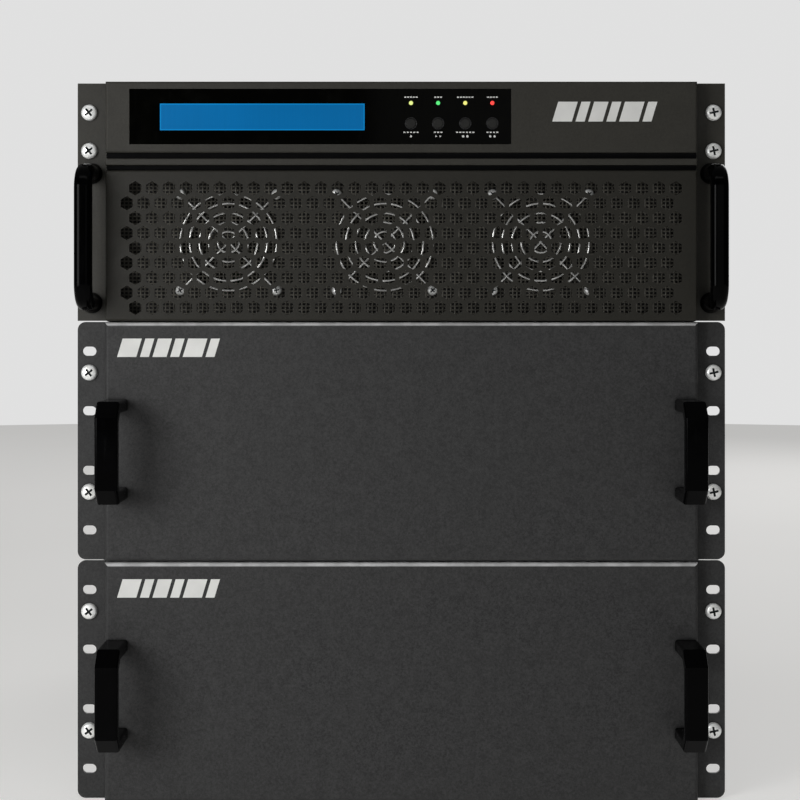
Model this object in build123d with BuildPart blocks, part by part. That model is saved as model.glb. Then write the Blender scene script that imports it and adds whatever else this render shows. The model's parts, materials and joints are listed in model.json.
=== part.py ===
"""Rack-mount UPS stack: a power module with a display and three intake fans above two battery modules.

All lengths are millimetres. +X is the viewer's right, +Y runs from the front to the back and +Z is up.
The origin is the centre of the stack's footprint, on the surface that the lowest case stands on.
Every module is drawn with its own base at z = 0 and is written at its level in the stack.
"""

from build123d import *
import os
from math import cos, radians, sin

# ---------------------------------------------------------------- rack standard and stack
RACK_UNIT = 44.45
MODULE_PITCH = 4 * RACK_UNIT
EAR_TO_EAR = 482.6
SLOT_X = 465.1 / 2
SLOT_LENGTH = 10.3
SLOT_HEIGHT = 6.8
LOWER, UPPER, TOP = 0, 1, 2
BATTERY_LEVELS = {"lower": LOWER, "upper": UPPER}

# ---------------------------------------------------------------- places along the depth
OVERALL_DEPTH = 640.0
GRIP_REACH = 48.0
PANEL_DEPTH = 12.0
BEZEL_DEPTH = 15.0
HOOD_DEPTH = 26.0
EAR_FACE = -OVERALL_DEPTH / 2 + GRIP_REACH + PANEL_DEPTH
PANEL_FACE = EAR_FACE - PANEL_DEPTH
BEZEL_FACE = EAR_FACE - BEZEL_DEPTH
CASE_BACK = OVERALL_DEPTH / 2 - HOOD_DEPTH

# ---------------------------------------------------------------- sheet-metal cases
CASE_HALF = 220.0
CASE_HEIGHT = 177.0
SHEET = 1.5
COVER_BASE = CASE_HEIGHT - SHEET
LIP = 11.0
COVER_LIP = 12.0
LIP_GAP = 0.3
FOLD = 1.2
WALL_INSIDE = CASE_BACK - SHEET
HARNESS_SLOT = (-60.0, 148.0, 44.0, 12.0)

# ---------------------------------------------------------------- ears and rack screws
EAR_SHEET = 2.5
EAR_BOTTOM = 0.4
EAR_TOP = MODULE_PITCH - EAR_BOTTOM
EAR_LEG = 45.0
EAR_CORNER = 6.0
BEND = 1.5
FREE_SLOTS = [(unit + 0.5) * RACK_UNIT for unit in range(4)]
BATTERY_SCREWS = [50.8, 139.7]
UPS_SCREWS = [127.0, 155.575]
SCREW_HEAD_R = 6.0
SCREW_HEAD_H = 3.6
SCREW_HEAD_ROUND = 2.4
SCREW_SHOULDER_R = 3.3
SCREW_THREAD_R = 3.0
SCREW_THREAD_LENGTH = 12.0
EAR_BACK_GAP = 0.2
CROSS_LENGTH = 6.6
CROSS_WIDTH = 1.5
CROSS_DEPTH = 2.0

# ---------------------------------------------------------------- battery module front
FRONT_PANEL_HALF = 219.5
FRONT_PANEL_BOTTOM = 0.5
FRONT_PANEL_TOP = 177.2
PANEL_SHEET = 2.0
PANEL_EDGE = 3.0
BOW_X = 210.5
BOW_Z = 83.5
BOW_HEIGHT = 74.0
BOW_WIDTH = 16.6
BOW_THICK = 9.0
BOW_SHOULDER = 11.0
BOW_INNER_SHOULDER = 6.0
BOW_EDGE = 2.0

# ---------------------------------------------------------------- battery blocks
CELL = (99.0, 151.0, 65.0)
CELL_STEP = (101.5, 160.0, 68.0)
CELL_COUNT = (4, 3, 2)
CELLS_START_Y = EAR_FACE + 20
CELL_TAB = (6.3, 5.0, 2.0)

# ---------------------------------------------------------------- power module front
BEZEL_HALF = 218.2
BEZEL_TOP = 177.0
HEAD_BOTTOM = 124.4
STRIP_TOP = 120.2
STRIP_BOTTOM = 115.3
BEZEL_BOTTOM = 111.9
GROOVE_DEPTH = 6.0
BEZEL_WALL = 2.5
WINDOW_LEFT, WINDOW_RIGHT = -200.6, 81.0
WINDOW_TOP, WINDOW_BOTTOM = 171.6, 130.6
WINDOW_SHEET = 2.0
WINDOW_INSET = 0.3
WINDOW_LEDGE = 3.0
LCD_LEFT, LCD_RIGHT = -178.0, -27.1
LCD_TOP, LCD_BOTTOM = 160.7, 141.0
LCD_INSET = 0.5
LCD_BODY = 9.0
LCD_MARGIN = 6.0
KEY_FIRST_X = 7.1
KEY_STEP = 20.0
KEY_X = [KEY_FIRST_X + KEY_STEP * i for i in range(4)]
LED_Z = 161.2
LED_R = 1.5
LED_PROUD = 0.6
KEY_Z = 146.1
KEY_R = 3.6
KEY_HOLE_R = 3.8
KEY_PROUD = 0.7
KEY_TRAVEL = 1.0
KEY_FLANGE_R = 4.6
KEY_FLANGE = 1.2
KEY_STEM_R = 1.6
BOARD_FACE = EAR_FACE - 3.5
BOARD_SHEET = 1.6
SWITCH_HEIGHT = 3.0

GRILLE_TOP = 111.5
GRILLE_BOTTOM = 0.5
GRILLE_SHEET = 1.5
GRILLE_EDGE = 1.4
HEX_FLATS = 9.1
HEX_ROWS = 9
HEX_COLUMNS = 33
HEX_STEP_X = 12.45
HEX_STEP_Z = 11.0
HEX_TOP_Z = 98.2

# ---------------------------------------------------------------- fans
FAN_X = {"left": -128.6, "middle": -12.4, "right": 103.8}
FAN_FACE = EAR_FACE + SHEET
FAN_Z = 58.9
FAN_SIZE = 80.0
FAN_DEPTH = 25.0
FAN_DUCT_R = 38.2
FAN_HOLE = 71.5 / 2
FAN_HOLE_R = 2.2
FAN_HUB_R = 16.0
FAN_BLADE_R = 36.8
FAN_BLADES = 7
FAN_PLATE = 4.0
FAN_SHAFT_R = 1.5
FAN_BORE_R = 1.55
SCREEN_SHEET = 1.0
GUARD_RINGS = [7.9, 14.6, 21.6, 28.8, 35.9]
GUARD_WIRE_R = 0.9
GUARD_EYE_R = 3.2
GUARD_SPOKE_Y = EAR_FACE - SCREEN_SHEET - 1.05
GUARD_RING_Y = GUARD_SPOKE_Y - 1.5
FAN_SCREW_R = 2.0
FAN_SCREW_HEAD_R = 3.6
FAN_SCREW_HEAD_H = 2.4
FAN_SCREW_LENGTH = 14.0

# ---------------------------------------------------------------- power module handles
EAR_CENTRE_X = (CASE_HALF + EAR_TO_EAR / 2) / 2
PULL_BOTTOM, PULL_TOP = 6.0, 118.0
PULL_REACH = 42.0
PULL_WIDTH = 13.0
PULL_THICK = 11.0
PULL_BEND = 14.0
PULL_FOOT_R = 7.8
PULL_FOOT = 9.0

# ---------------------------------------------------------------- rear fittings, module places (x, z)
BREAKER_HALF_X = 26.5
BREAKER_HALF_Z = 22.5
BREAKER_NOSE = 8.0
BREAKER_BODY = (54.0, 58.0, 82.0)
LEVER_PIVOT_Y = CASE_BACK - 1.0
LEVER_HUB_R = 6.5
LEVER_LENGTH = 20.0
LEVER_THICK = 5.0
LEVER_TILT = 35.0
LEVER_HALF = 21.0
LEVER_SLOT_HALF_X = 21.5
LEVER_SLOT_HALF_Z = 12.0
LEVER_SLOT_DEPTH = 20.0
LEVER_PIN_R = 2.0
LEVER_BORE_R = 2.06
LEVER_PIN_END = 24.0
FIT_GAP = 0.3

BATTERY_BREAKER = (-140.0, 88.0)
BATTERY_SOCKETS = [(60.0, 60.0), (150.0, 60.0)]
UPS_BREAKER = (-50.0, 52.0)
UPS_SOCKET = (176.0, 30.0)

SOCKET_FLANGE = (66.0, 2.0, 36.0)
SOCKET_HOUSING = (56.0, 18.0, 28.0)
SOCKET_BODY = (50.0, 15.0, 24.0)
SOCKET_CAVITY = (22.0, 16.0, 20.0)
SOCKET_BLADE = (12.0, 12.0, 3.0)

OUTLET_PLACES = [(x, z) for z in (30.0, 64.0) for x in (20.0, 60.0)]
OUTLET_FLANGE = (36.0, 2.0, 29.0)
OUTLET_BODY = (30.0, 20.0, 23.0)
OUTLET_GROOVE = (25.0, 17.5)
OUTLET_CORE = (20.0, 12.5)
OUTLET_DEPTH = 15.0
PIN_SLOT = (2.6, 6.4)

TERMINAL_PLACE = (-154.0, 62.0)
TERMINAL_SIZE = (116.0, 14.0, 30.0)
TERMINAL_POLES = 7
TERMINAL_RIB = 2.0
TERMINAL_RIB_RISE = 4.0
TERMINAL_SCREW_R = 4.2
HOOD_HALF_X = 62.0
HOOD_TOP = 84.0
HOOD_BOTTOM = 18.0
HOOD_SHEET = 1.2
HOOD_TAB = 10.0

PORT_PLATE_LEFT, PORT_PLATE_RIGHT = 96.0, 208.0
PORT_PLATE_BOTTOM, PORT_PLATE_TOP = 60.0, 90.0
PORT_Z = 75.0
SERIAL_X, USB_X, NETWORK_X, STOP_X = 118.0, 146.0, 168.0, 192.0
CARD_LEFT, CARD_RIGHT = 96.0, 208.0
CARD_BOTTOM, CARD_TOP = 104.0, 150.0

VENT_WIDTH = 4.5
VENT_HEIGHT = 34.0
VENT_STEP = 9.5


# ---------------------------------------------------------------- helpers
def slab(low, high, mode=Mode.ADD):
    """Adds or cuts a box between two opposite corners in the open part."""
    size = [b - a for a, b in zip(low, high)]
    with Locations(Vector(*low)):
        return Box(*size, align=(Align.MIN, Align.MIN, Align.MIN), mode=mode)


def centred(x, z, size, front, mode=Mode.ADD):
    """Adds or cuts a box of (width, depth, height) whose front face is at y = front, centred on (x, z)."""
    width, depth, height = size
    low = (x - width / 2, front, z - height / 2)
    high = (x + width / 2, front + depth, z + height / 2)
    return slab(low, high, mode)


def front_plane(y):
    """A sketch plane at depth y that faces the front: its x is +X and its y is +Z."""
    return Plane(origin=(0, y, 0), x_dir=(1, 0, 0), z_dir=(0, -1, 0))


def save(builder, name, level=LOWER, offset=(0, 0, 0)):
    """Labels a finished part, lifts it to its level in the stack and writes it."""
    x, y, z = offset
    piece = builder.part.moved(Location((x, y, z + level * MODULE_PITCH)))
    piece.label = name
    export_step(piece, f"parts/{name}.step")


# ---------------------------------------------------------------- cases and covers
def open_case():
    """A folded tub, open above and closed in front; drawn in the open part."""
    tub = slab((-CASE_HALF, EAR_FACE, 0), (CASE_HALF, CASE_BACK, COVER_BASE))
    uprights = tub.edges().filter_by(Axis.Z).sort_by(Axis.Y)[-2:]
    fillet(uprights + tub.faces().sort_by(Axis.Z)[0].edges().sort_by(Axis.Y)[1:], FOLD)
    inside = CASE_HALF - SHEET
    slab((-inside, EAR_FACE + SHEET, SHEET), (inside, WALL_INSIDE, COVER_BASE), Mode.SUBTRACT)


def cut_mouth():
    """Opens the case's front wall, leaving a lip round the mouth."""
    mouth = CASE_HALF - SHEET - LIP
    slab((-mouth, EAR_FACE, SHEET + LIP), (mouth, EAR_FACE + SHEET, COVER_BASE), Mode.SUBTRACT)


def cut_intake():
    """Cuts the fans' ducts and fixing holes and the display's harness slot in the case's front wall."""
    x, z, width, height = HARNESS_SLOT
    with BuildSketch(front_plane(EAR_FACE)) as holes:
        with Locations([(fan_x, FAN_Z) for fan_x in FAN_X.values()]):
            Circle(FAN_DUCT_R)
        with Locations(fan_corners()):
            Circle(FAN_HOLE_R)
        with Locations((x, z)):
            SlotOverall(width, height)
    extrude(holes.sketch, amount=-SHEET, mode=Mode.SUBTRACT)


def cut_rear(x, z, width, height):
    """Cuts a rectangular hole in the open case's rear wall."""
    centred(x, z, (width, 3 * SHEET, height), WALL_INSIDE - SHEET, Mode.SUBTRACT)


def cut_vents(centre_x, centre_z, count):
    """Cuts a row of upright ventilation slots in the open case's rear wall."""
    with BuildSketch(front_plane(CASE_BACK + SHEET)) as vents:
        with Locations((centre_x, centre_z)):
            with GridLocations(VENT_STEP, 1, count, 1):
                SlotOverall(VENT_HEIGHT, VENT_WIDTH, rotation=90)
    extrude(vents.sketch, amount=3 * SHEET, mode=Mode.SUBTRACT)


def cut_breaker(place):
    """Cuts the window that a breaker's nose comes through."""
    cut_rear(*place, 2 * (BREAKER_HALF_X + FIT_GAP), 2 * (BREAKER_HALF_Z + FIT_GAP))


def cut_socket(place):
    """Cuts the window that a battery socket's body goes through."""
    cut_rear(*place, SOCKET_BODY[0] + FIT_GAP, SOCKET_BODY[2] + FIT_GAP)


def battery_case():
    with BuildPart() as case:
        open_case()
        cut_mouth()
        cut_breaker(BATTERY_BREAKER)
        for place in BATTERY_SOCKETS:
            cut_socket(place)
        cut_vents(centre_x=30, centre_z=128, count=32)
    return case


def ups_case():
    with BuildPart() as case:
        open_case()
        cut_intake()
        cut_breaker(UPS_BREAKER)
        cut_socket(UPS_SOCKET)
        for place in OUTLET_PLACES:
            cut_rear(*place, OUTLET_BODY[0] + FIT_GAP, OUTLET_BODY[2] + FIT_GAP)
        ports_x = (PORT_PLATE_LEFT + PORT_PLATE_RIGHT) / 2
        cut_rear(ports_x, PORT_Z, PORT_PLATE_RIGHT - PORT_PLATE_LEFT - 12, 20)
        cut_vents(centre_x=-60, centre_z=139, count=29)
        cut_vents(centre_x=-60, centre_z=101.5, count=29)
        with BuildSketch(Plane.YZ.offset(CASE_HALF + SHEET)):
            with Locations((150, 120), (150, 76)):
                with GridLocations(VENT_STEP, 1, 18, 1):
                    SlotOverall(VENT_HEIGHT, VENT_WIDTH, rotation=90)
        extrude(amount=-2 * CASE_HALF - 3 * SHEET, mode=Mode.SUBTRACT)
    return case


def case_cover():
    """A flat lid whose down-turned lips sit inside the case's walls."""
    with BuildPart() as cover:
        lid = slab((-CASE_HALF, EAR_FACE, COVER_BASE), (CASE_HALF, CASE_BACK, CASE_HEIGHT))
        fillet(lid.faces().sort_by(Axis.Z)[-1].edges().sort_by(Axis.Y)[1:], FOLD)
        lip_bottom = COVER_BASE - COVER_LIP
        outside = CASE_HALF - SHEET - LIP_GAP
        inside = outside - SHEET
        lip_front = EAR_FACE + SHEET + LIP_GAP
        lip_back = WALL_INSIDE - LIP_GAP
        slab((-outside, lip_front, lip_bottom), (-inside, lip_back, COVER_BASE))
        slab((inside, lip_front, lip_bottom), (outside, lip_back, COVER_BASE))
        slab((-inside, lip_back - SHEET, lip_bottom), (inside, lip_back, COVER_BASE))
    return cover


# ---------------------------------------------------------------- rack ears
def rack_ear(side, slot_heights, corner):
    """An L-shaped bracket. side is +1 on the right and -1 on the left."""
    edge = EAR_TO_EAR / 2
    with BuildPart() as ear:
        with BuildSketch(Plane.XY.offset(EAR_BOTTOM)):
            with BuildLine():
                Polyline(
                    (side * CASE_HALF, EAR_FACE),
                    (side * edge, EAR_FACE),
                    (side * edge, EAR_FACE + EAR_SHEET),
                    (side * (CASE_HALF + EAR_SHEET), EAR_FACE + EAR_SHEET),
                    (side * (CASE_HALF + EAR_SHEET), EAR_FACE + EAR_LEG),
                    (side * CASE_HALF, EAR_FACE + EAR_LEG),
                    close=True,
                )
            make_face()
        extrude(amount=EAR_TOP - EAR_BOTTOM)
        inner = ear.edges().filter_by(Axis.Z)
        inner = inner.filter_by_position(Axis.Y, EAR_FACE + EAR_SHEET - 0.1, EAR_FACE + EAR_SHEET + 0.1)
        fillet(inner.sort_by(Axis.X)[0 if side > 0 else -1], BEND)
        if corner:
            outer = ear.edges().filter_by(Axis.Y).sort_by(Axis.X)
            fillet(outer[-2:] if side > 0 else outer[:2], corner)
        with BuildSketch(front_plane(EAR_FACE - 1)):
            with Locations([(side * SLOT_X, height) for height in slot_heights]):
                SlotOverall(SLOT_LENGTH, SLOT_HEIGHT)
        extrude(amount=-EAR_SHEET - 2, mode=Mode.SUBTRACT)
    return ear


def battery_ears():
    """The pair of brackets on a battery module, as two separate solids."""
    slots = FREE_SLOTS + BATTERY_SCREWS
    with BuildPart() as ears:
        add(rack_ear(-1, slots, EAR_CORNER).part)
        add(rack_ear(1, slots, EAR_CORNER).part)
    return ears


def rack_screws(heights):
    """Four pan-head cross-recess screws, each through an ear slot and out behind the ear."""
    thread_start = EAR_FACE + EAR_SHEET + EAR_BACK_GAP
    crown = EAR_FACE - SCREW_HEAD_H
    with BuildPart() as screw:
        with BuildSketch(front_plane(crown)):
            Circle(SCREW_HEAD_R)
        extrude(amount=-SCREW_HEAD_H)
        fillet(screw.faces().sort_by(Axis.Y)[0].edges(), SCREW_HEAD_ROUND)
        with BuildSketch(front_plane(EAR_FACE)):
            Circle(SCREW_SHOULDER_R)
        extrude(amount=EAR_FACE - thread_start)
        with BuildSketch(front_plane(thread_start)):
            Circle(SCREW_THREAD_R)
        extrude(amount=-SCREW_THREAD_LENGTH)
        chamfer(screw.faces().sort_by(Axis.Y)[-1].edges(), 0.6)
        arm = CROSS_LENGTH / 2
        half = CROSS_WIDTH / 2
        slab((-arm, crown, -half), (arm, crown + CROSS_DEPTH, half), Mode.SUBTRACT)
        slab((-half, crown, -arm), (half, crown + CROSS_DEPTH, arm), Mode.SUBTRACT)
    with BuildPart() as screws:
        places = [(side * SLOT_X, 0, height) for side in (-1, 1) for height in heights]
        with Locations(places):
            add(screw.part)
    return screws


# ---------------------------------------------------------------- battery module front
def battery_front_panel():
    """A blank folded pan that closes the case's mouth and carries the handles."""
    low = (-FRONT_PANEL_HALF, PANEL_FACE, FRONT_PANEL_BOTTOM)
    high = (FRONT_PANEL_HALF, EAR_FACE, FRONT_PANEL_TOP)
    with BuildPart() as panel:
        slab(low, high)
        fillet(panel.faces().sort_by(Axis.Y)[0].edges(), PANEL_EDGE)
        slab(
            (low[0] + PANEL_SHEET, low[1] + PANEL_SHEET, low[2] + PANEL_SHEET),
            (high[0] - PANEL_SHEET, high[1], high[2] - PANEL_SHEET),
            Mode.SUBTRACT,
        )
    return panel


def bow_handle(side):
    """A bridge handle with cut-off shoulders, standing on the front panel."""
    front = PANEL_FACE - GRIP_REACH
    with BuildPart() as handle:
        with BuildSketch(Plane.YZ.offset(side * BOW_X)):
            with Locations((PANEL_FACE, BOW_Z)):
                Rectangle(GRIP_REACH, BOW_HEIGHT, align=(Align.MAX, Align.CENTER))
                Rectangle(
                    GRIP_REACH - BOW_THICK,
                    BOW_HEIGHT - 2 * BOW_THICK,
                    align=(Align.MAX, Align.CENTER),
                    mode=Mode.SUBTRACT,
                )
        extrude(amount=BOW_WIDTH / 2, both=True)
        for y, cut in ((front, BOW_SHOULDER), (front + BOW_THICK, BOW_INNER_SHOULDER)):
            across = handle.edges().filter_by(Axis.X)
            chamfer(across.filter_by_position(Axis.Y, y - 0.1, y + 0.1), cut)
        sides = handle.faces().filter_by(Axis.X)
        rims = sides.edges().filter_by_position(Axis.Y, front - 1, PANEL_FACE - 0.1)
        fillet(rims, BOW_EDGE)
    return handle


def battery_blocks():
    """Two strings of sealed batteries lying on their sides, each block a separate solid."""
    columns, rows, layers = CELL_COUNT
    with BuildPart() as block:
        Box(*CELL, align=(Align.CENTER, Align.MIN, Align.MIN))
        fillet(block.edges().filter_by(Axis.Y), 2)
        with Locations((-20, 0, CELL[2] / 2), (20, 0, CELL[2] / 2)):
            Box(*CELL_TAB, align=(Align.CENTER, Align.MAX, Align.CENTER))
    places = [
        (
            (column - (columns - 1) / 2) * CELL_STEP[0],
            CELLS_START_Y + row * CELL_STEP[1],
            SHEET + 1 + layer * CELL_STEP[2],
        )
        for column in range(columns)
        for row in range(rows)
        for layer in range(layers)
    ]
    with BuildPart() as blocks:
        with Locations(places):
            add(block.part)
    return blocks


# ---------------------------------------------------------------- rear fittings
def breaker(place):
    """A three-pole breaker: its case behind the wall, its nose through it and a slot for the lever."""
    x, z = place
    nose_face = CASE_BACK + BREAKER_NOSE
    with BuildPart() as body:
        centred(x, z, BREAKER_BODY, WALL_INSIDE - BREAKER_BODY[1])
        centred(x, z, (2 * BREAKER_HALF_X, nose_face - WALL_INSIDE, 2 * BREAKER_HALF_Z), WALL_INSIDE)
        fillet(body.faces().sort_by(Axis.Y)[-1].edges(), 1)
        slot = (2 * LEVER_SLOT_HALF_X, LEVER_SLOT_DEPTH, 2 * LEVER_SLOT_HALF_Z)
        centred(x, z, slot, nose_face - LEVER_SLOT_DEPTH, Mode.SUBTRACT)
        with Locations(Location((x, LEVER_PIVOT_Y, z), (0, 90, 0))):
            Cylinder(LEVER_BORE_R, 2 * (LEVER_PIN_END + 0.5), mode=Mode.SUBTRACT)
    return body


def breaker_lever(place):
    """The ganged toggle of a breaker, pointing up: on."""
    x, z = place
    with BuildPart() as lever:
        with BuildSketch(Plane.YZ.offset(x)):
            with Locations((LEVER_PIVOT_Y, z)):
                Circle(LEVER_HUB_R)
                with BuildSketch(mode=Mode.PRIVATE) as bat:
                    Trapezoid(LEVER_LENGTH, LEVER_THICK + 1, 88, align=(Align.MIN, Align.CENTER))
                add(bat.sketch.rotate(Axis.Z, LEVER_TILT))
        extrude(amount=LEVER_HALF, both=True)
        along = lever.edges().filter_by(Axis.X).sort_by(Axis.Y)
        fillet(along[-2:], 1.2)
        with Locations(Location((x, LEVER_PIVOT_Y, z), (0, 90, 0))):
            Cylinder(LEVER_PIN_R, 2 * LEVER_PIN_END)
    return lever


def battery_socket(place):
    """A two-pole battery socket with an open cavity and a contact blade for each pole."""
    x, z = place
    mouth = CASE_BACK + SOCKET_FLANGE[1] + SOCKET_HOUSING[1]
    cavity_x = SOCKET_HOUSING[0] / 4
    with BuildPart() as socket:
        centred(x, z, SOCKET_FLANGE, CASE_BACK)
        fillet(socket.edges().filter_by(Axis.Y), 3)
        centred(x, z, SOCKET_HOUSING, CASE_BACK + SOCKET_FLANGE[1])
        fillet(socket.faces().sort_by(Axis.Y)[-1].edges(), 1)
        centred(x, z, SOCKET_BODY, CASE_BACK - SOCKET_BODY[1])
        for pole in (-1, 1):
            pole_x = x + pole * cavity_x
            centred(pole_x, z, SOCKET_CAVITY, mouth - SOCKET_CAVITY[1], Mode.SUBTRACT)
            blade_z = z - SOCKET_CAVITY[2] / 2 + SOCKET_BLADE[2] / 2
            centred(pole_x, blade_z, SOCKET_BLADE, mouth - SOCKET_CAVITY[1])
    return socket


def battery_sockets():
    with BuildPart() as sockets:
        for place in BATTERY_SOCKETS:
            add(battery_socket(place).part)
    return sockets


def output_sockets():
    """Four mains outlets, each with a groove round a core that has three pin slots."""
    back = CASE_BACK + OUTLET_FLANGE[1]
    with BuildPart() as outlet:
        centred(0, 0, OUTLET_FLANGE, CASE_BACK)
        fillet(outlet.edges().filter_by(Axis.Y), 3)
        centred(0, 0, OUTLET_BODY, CASE_BACK - OUTLET_BODY[1])
        with BuildSketch(front_plane(back)):
            Rectangle(*OUTLET_GROOVE)
            Rectangle(*OUTLET_CORE, mode=Mode.SUBTRACT)
            with Locations((0, 2.5), (-6, -1.5), (6, -1.5)):
                Rectangle(*PIN_SLOT)
        extrude(amount=OUTLET_DEPTH, mode=Mode.SUBTRACT)
    with BuildPart() as outlets:
        with Locations([(x, 0, z) for x, z in OUTLET_PLACES]):
            add(outlet.part)
    return outlets


def terminal_block():
    """A barrier block for the mains cables, with a clamp screw in each bay."""
    x, z = TERMINAL_PLACE
    width, depth, height = TERMINAL_SIZE
    pitch = (width - TERMINAL_RIB) / TERMINAL_POLES
    rib = (TERMINAL_RIB, depth + TERMINAL_RIB_RISE, height)
    with BuildPart() as block:
        centred(x, z, TERMINAL_SIZE, CASE_BACK)
        for i in range(TERMINAL_POLES + 1):
            centred(x + (i - TERMINAL_POLES / 2) * pitch, z, rib, CASE_BACK)
        bays = [(x + (i - (TERMINAL_POLES - 1) / 2) * pitch, z) for i in range(TERMINAL_POLES)]
        with BuildSketch(front_plane(CASE_BACK + depth)):
            with Locations(bays):
                Circle(TERMINAL_SCREW_R)
        extrude(amount=-3)
    return block


def terminal_cover():
    """A folded hood over the terminals, open below for the cables, with a fixing tab each side."""
    x = TERMINAL_PLACE[0]
    left, right = x - HOOD_HALF_X, x + HOOD_HALF_X
    back = CASE_BACK + HOOD_DEPTH
    with BuildPart() as hood:
        slab((left, CASE_BACK, HOOD_BOTTOM), (right, back, HOOD_TOP))
        fillet(hood.faces().sort_by(Axis.Y)[-1].edges().filter_by(Axis.Z), 2)
        slab(
            (left + HOOD_SHEET, CASE_BACK, HOOD_BOTTOM),
            (right - HOOD_SHEET, back - HOOD_SHEET, HOOD_TOP - HOOD_SHEET),
            Mode.SUBTRACT,
        )
        middle = (HOOD_BOTTOM + HOOD_TOP) / 2
        for inner, outer in ((left, left - HOOD_TAB + 6), (right, right + HOOD_TAB)):
            low_x, high_x = sorted((inner, outer))
            slab((low_x, CASE_BACK, middle - 8), (high_x, CASE_BACK + HOOD_SHEET, middle + 8))
    return hood


def interface_panel():
    """A small plate with the signal ports, and the blanking plate of the card slot above it."""
    plate_back = CASE_BACK + SHEET
    behind = 10.0
    with BuildPart() as panel:
        slab((PORT_PLATE_LEFT, CASE_BACK, PORT_PLATE_BOTTOM), (PORT_PLATE_RIGHT, plate_back, PORT_PLATE_TOP))
        centred(SERIAL_X, PORT_Z, (31, 1.2, 12.5), plate_back)
        with BuildSketch(front_plane(plate_back + 1.2)):
            with Locations((SERIAL_X, PORT_Z)):
                RectangleRounded(17, 8.6, 2.2)
        extrude(amount=-5)
        centred(USB_X, PORT_Z, (14, 4 + behind, 13), CASE_BACK - behind)
        centred(USB_X, PORT_Z, (9, 10, 8.4), plate_back + 2.5 - 10, Mode.SUBTRACT)
        centred(USB_X, PORT_Z, (5.6, 8, 3.2), plate_back + 2.5 - 10)
        centred(NETWORK_X, PORT_Z, (16, 4 + behind, 14), CASE_BACK - behind)
        centred(NETWORK_X, PORT_Z, (12, 12, 8), plate_back + 2.5 - 12, Mode.SUBTRACT)
        centred(STOP_X, PORT_Z, (13, 9, 11), plate_back)
        fillet(panel.faces().sort_by(Axis.Y)[-1].edges(), 0.6)
        with BuildSketch(front_plane(plate_back + 9)):
            with Locations((STOP_X - 2.6, PORT_Z), (STOP_X + 2.6, PORT_Z)):
                Rectangle(2.6, 3.4)
        extrude(amount=6, mode=Mode.SUBTRACT)
    with BuildPart() as blank:
        slab((CARD_LEFT, CASE_BACK, CARD_BOTTOM), (CARD_RIGHT, plate_back, CARD_TOP))
        fillet(blank.edges().filter_by(Axis.Y), 2)
        knob_z = (CARD_BOTTOM + CARD_TOP) / 2
        with BuildSketch(front_plane(plate_back)):
            with Locations((CARD_LEFT + 9, knob_z), (CARD_RIGHT - 9, knob_z)):
                Circle(4.5)
        extrude(amount=-6)
    with BuildPart() as both:
        add(panel.part)
        add(blank.part)
    return both


# ---------------------------------------------------------------- display head
def display_bezel():
    """The moulded head of the front: a display field, two grooves and a strip between them."""
    groove = BEZEL_FACE + GROOVE_DEPTH
    with BuildPart() as bezel:
        slab((-BEZEL_HALF, BEZEL_FACE, BEZEL_BOTTOM), (BEZEL_HALF, EAR_FACE, BEZEL_TOP))
        for bottom, top in ((STRIP_TOP, HEAD_BOTTOM), (BEZEL_BOTTOM, STRIP_BOTTOM)):
            slab((-BEZEL_HALF, BEZEL_FACE, bottom), (BEZEL_HALF, groove, top), Mode.SUBTRACT)
        rims = bezel.faces().filter_by(Axis.Y)
        rims = rims.filter_by_position(Axis.Y, BEZEL_FACE - 0.1, BEZEL_FACE + 0.1)
        fillet(rims.sort_by(Axis.Z)[-1].edges(), 1.6)
        strip = bezel.faces().filter_by(Axis.Y)
        strip = strip.filter_by_position(Axis.Y, BEZEL_FACE - 0.1, BEZEL_FACE + 0.1)
        fillet(strip.sort_by(Axis.Z)[0].edges(), 0.8)
        inside = BEZEL_HALF - BEZEL_WALL
        head_floor = HEAD_BOTTOM + BEZEL_WALL
        slab(
            (-inside, BEZEL_FACE + BEZEL_WALL, head_floor),
            (inside, EAR_FACE, BEZEL_TOP - BEZEL_WALL),
            Mode.SUBTRACT,
        )
        slab(
            (-inside, groove + BEZEL_WALL, BEZEL_BOTTOM + BEZEL_WALL),
            (inside, EAR_FACE, head_floor),
            Mode.SUBTRACT,
        )
        slab(
            (WINDOW_LEFT, BEZEL_FACE, WINDOW_BOTTOM),
            (WINDOW_RIGHT, BEZEL_FACE + WINDOW_INSET + WINDOW_SHEET, WINDOW_TOP),
            Mode.SUBTRACT,
        )
        slab(
            (WINDOW_LEFT + WINDOW_LEDGE, BEZEL_FACE, WINDOW_BOTTOM + WINDOW_LEDGE),
            (WINDOW_RIGHT - WINDOW_LEDGE, BEZEL_FACE + 2 * BEZEL_WALL, WINDOW_TOP - WINDOW_LEDGE),
            Mode.SUBTRACT,
        )
    return bezel


def display_window():
    """The glossy black lens, with an aperture for the screen and holes for the lamps and keys."""
    gap = FIT_GAP / 2
    front = BEZEL_FACE + WINDOW_INSET
    with BuildPart() as window:
        slab(
            (WINDOW_LEFT + gap, front, WINDOW_BOTTOM + gap),
            (WINDOW_RIGHT - gap, front + WINDOW_SHEET, WINDOW_TOP - gap),
        )
        slab(
            (LCD_LEFT, front, LCD_BOTTOM),
            (LCD_RIGHT, front + WINDOW_SHEET, LCD_TOP),
            Mode.SUBTRACT,
        )
        with BuildSketch(front_plane(front)):
            with Locations([(x, KEY_Z) for x in KEY_X]):
                Circle(KEY_HOLE_R)
            with Locations([(x, LED_Z) for x in KEY_X]):
                Circle(LED_R + 0.1)
        extrude(amount=-WINDOW_SHEET, mode=Mode.SUBTRACT)
    return window


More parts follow.
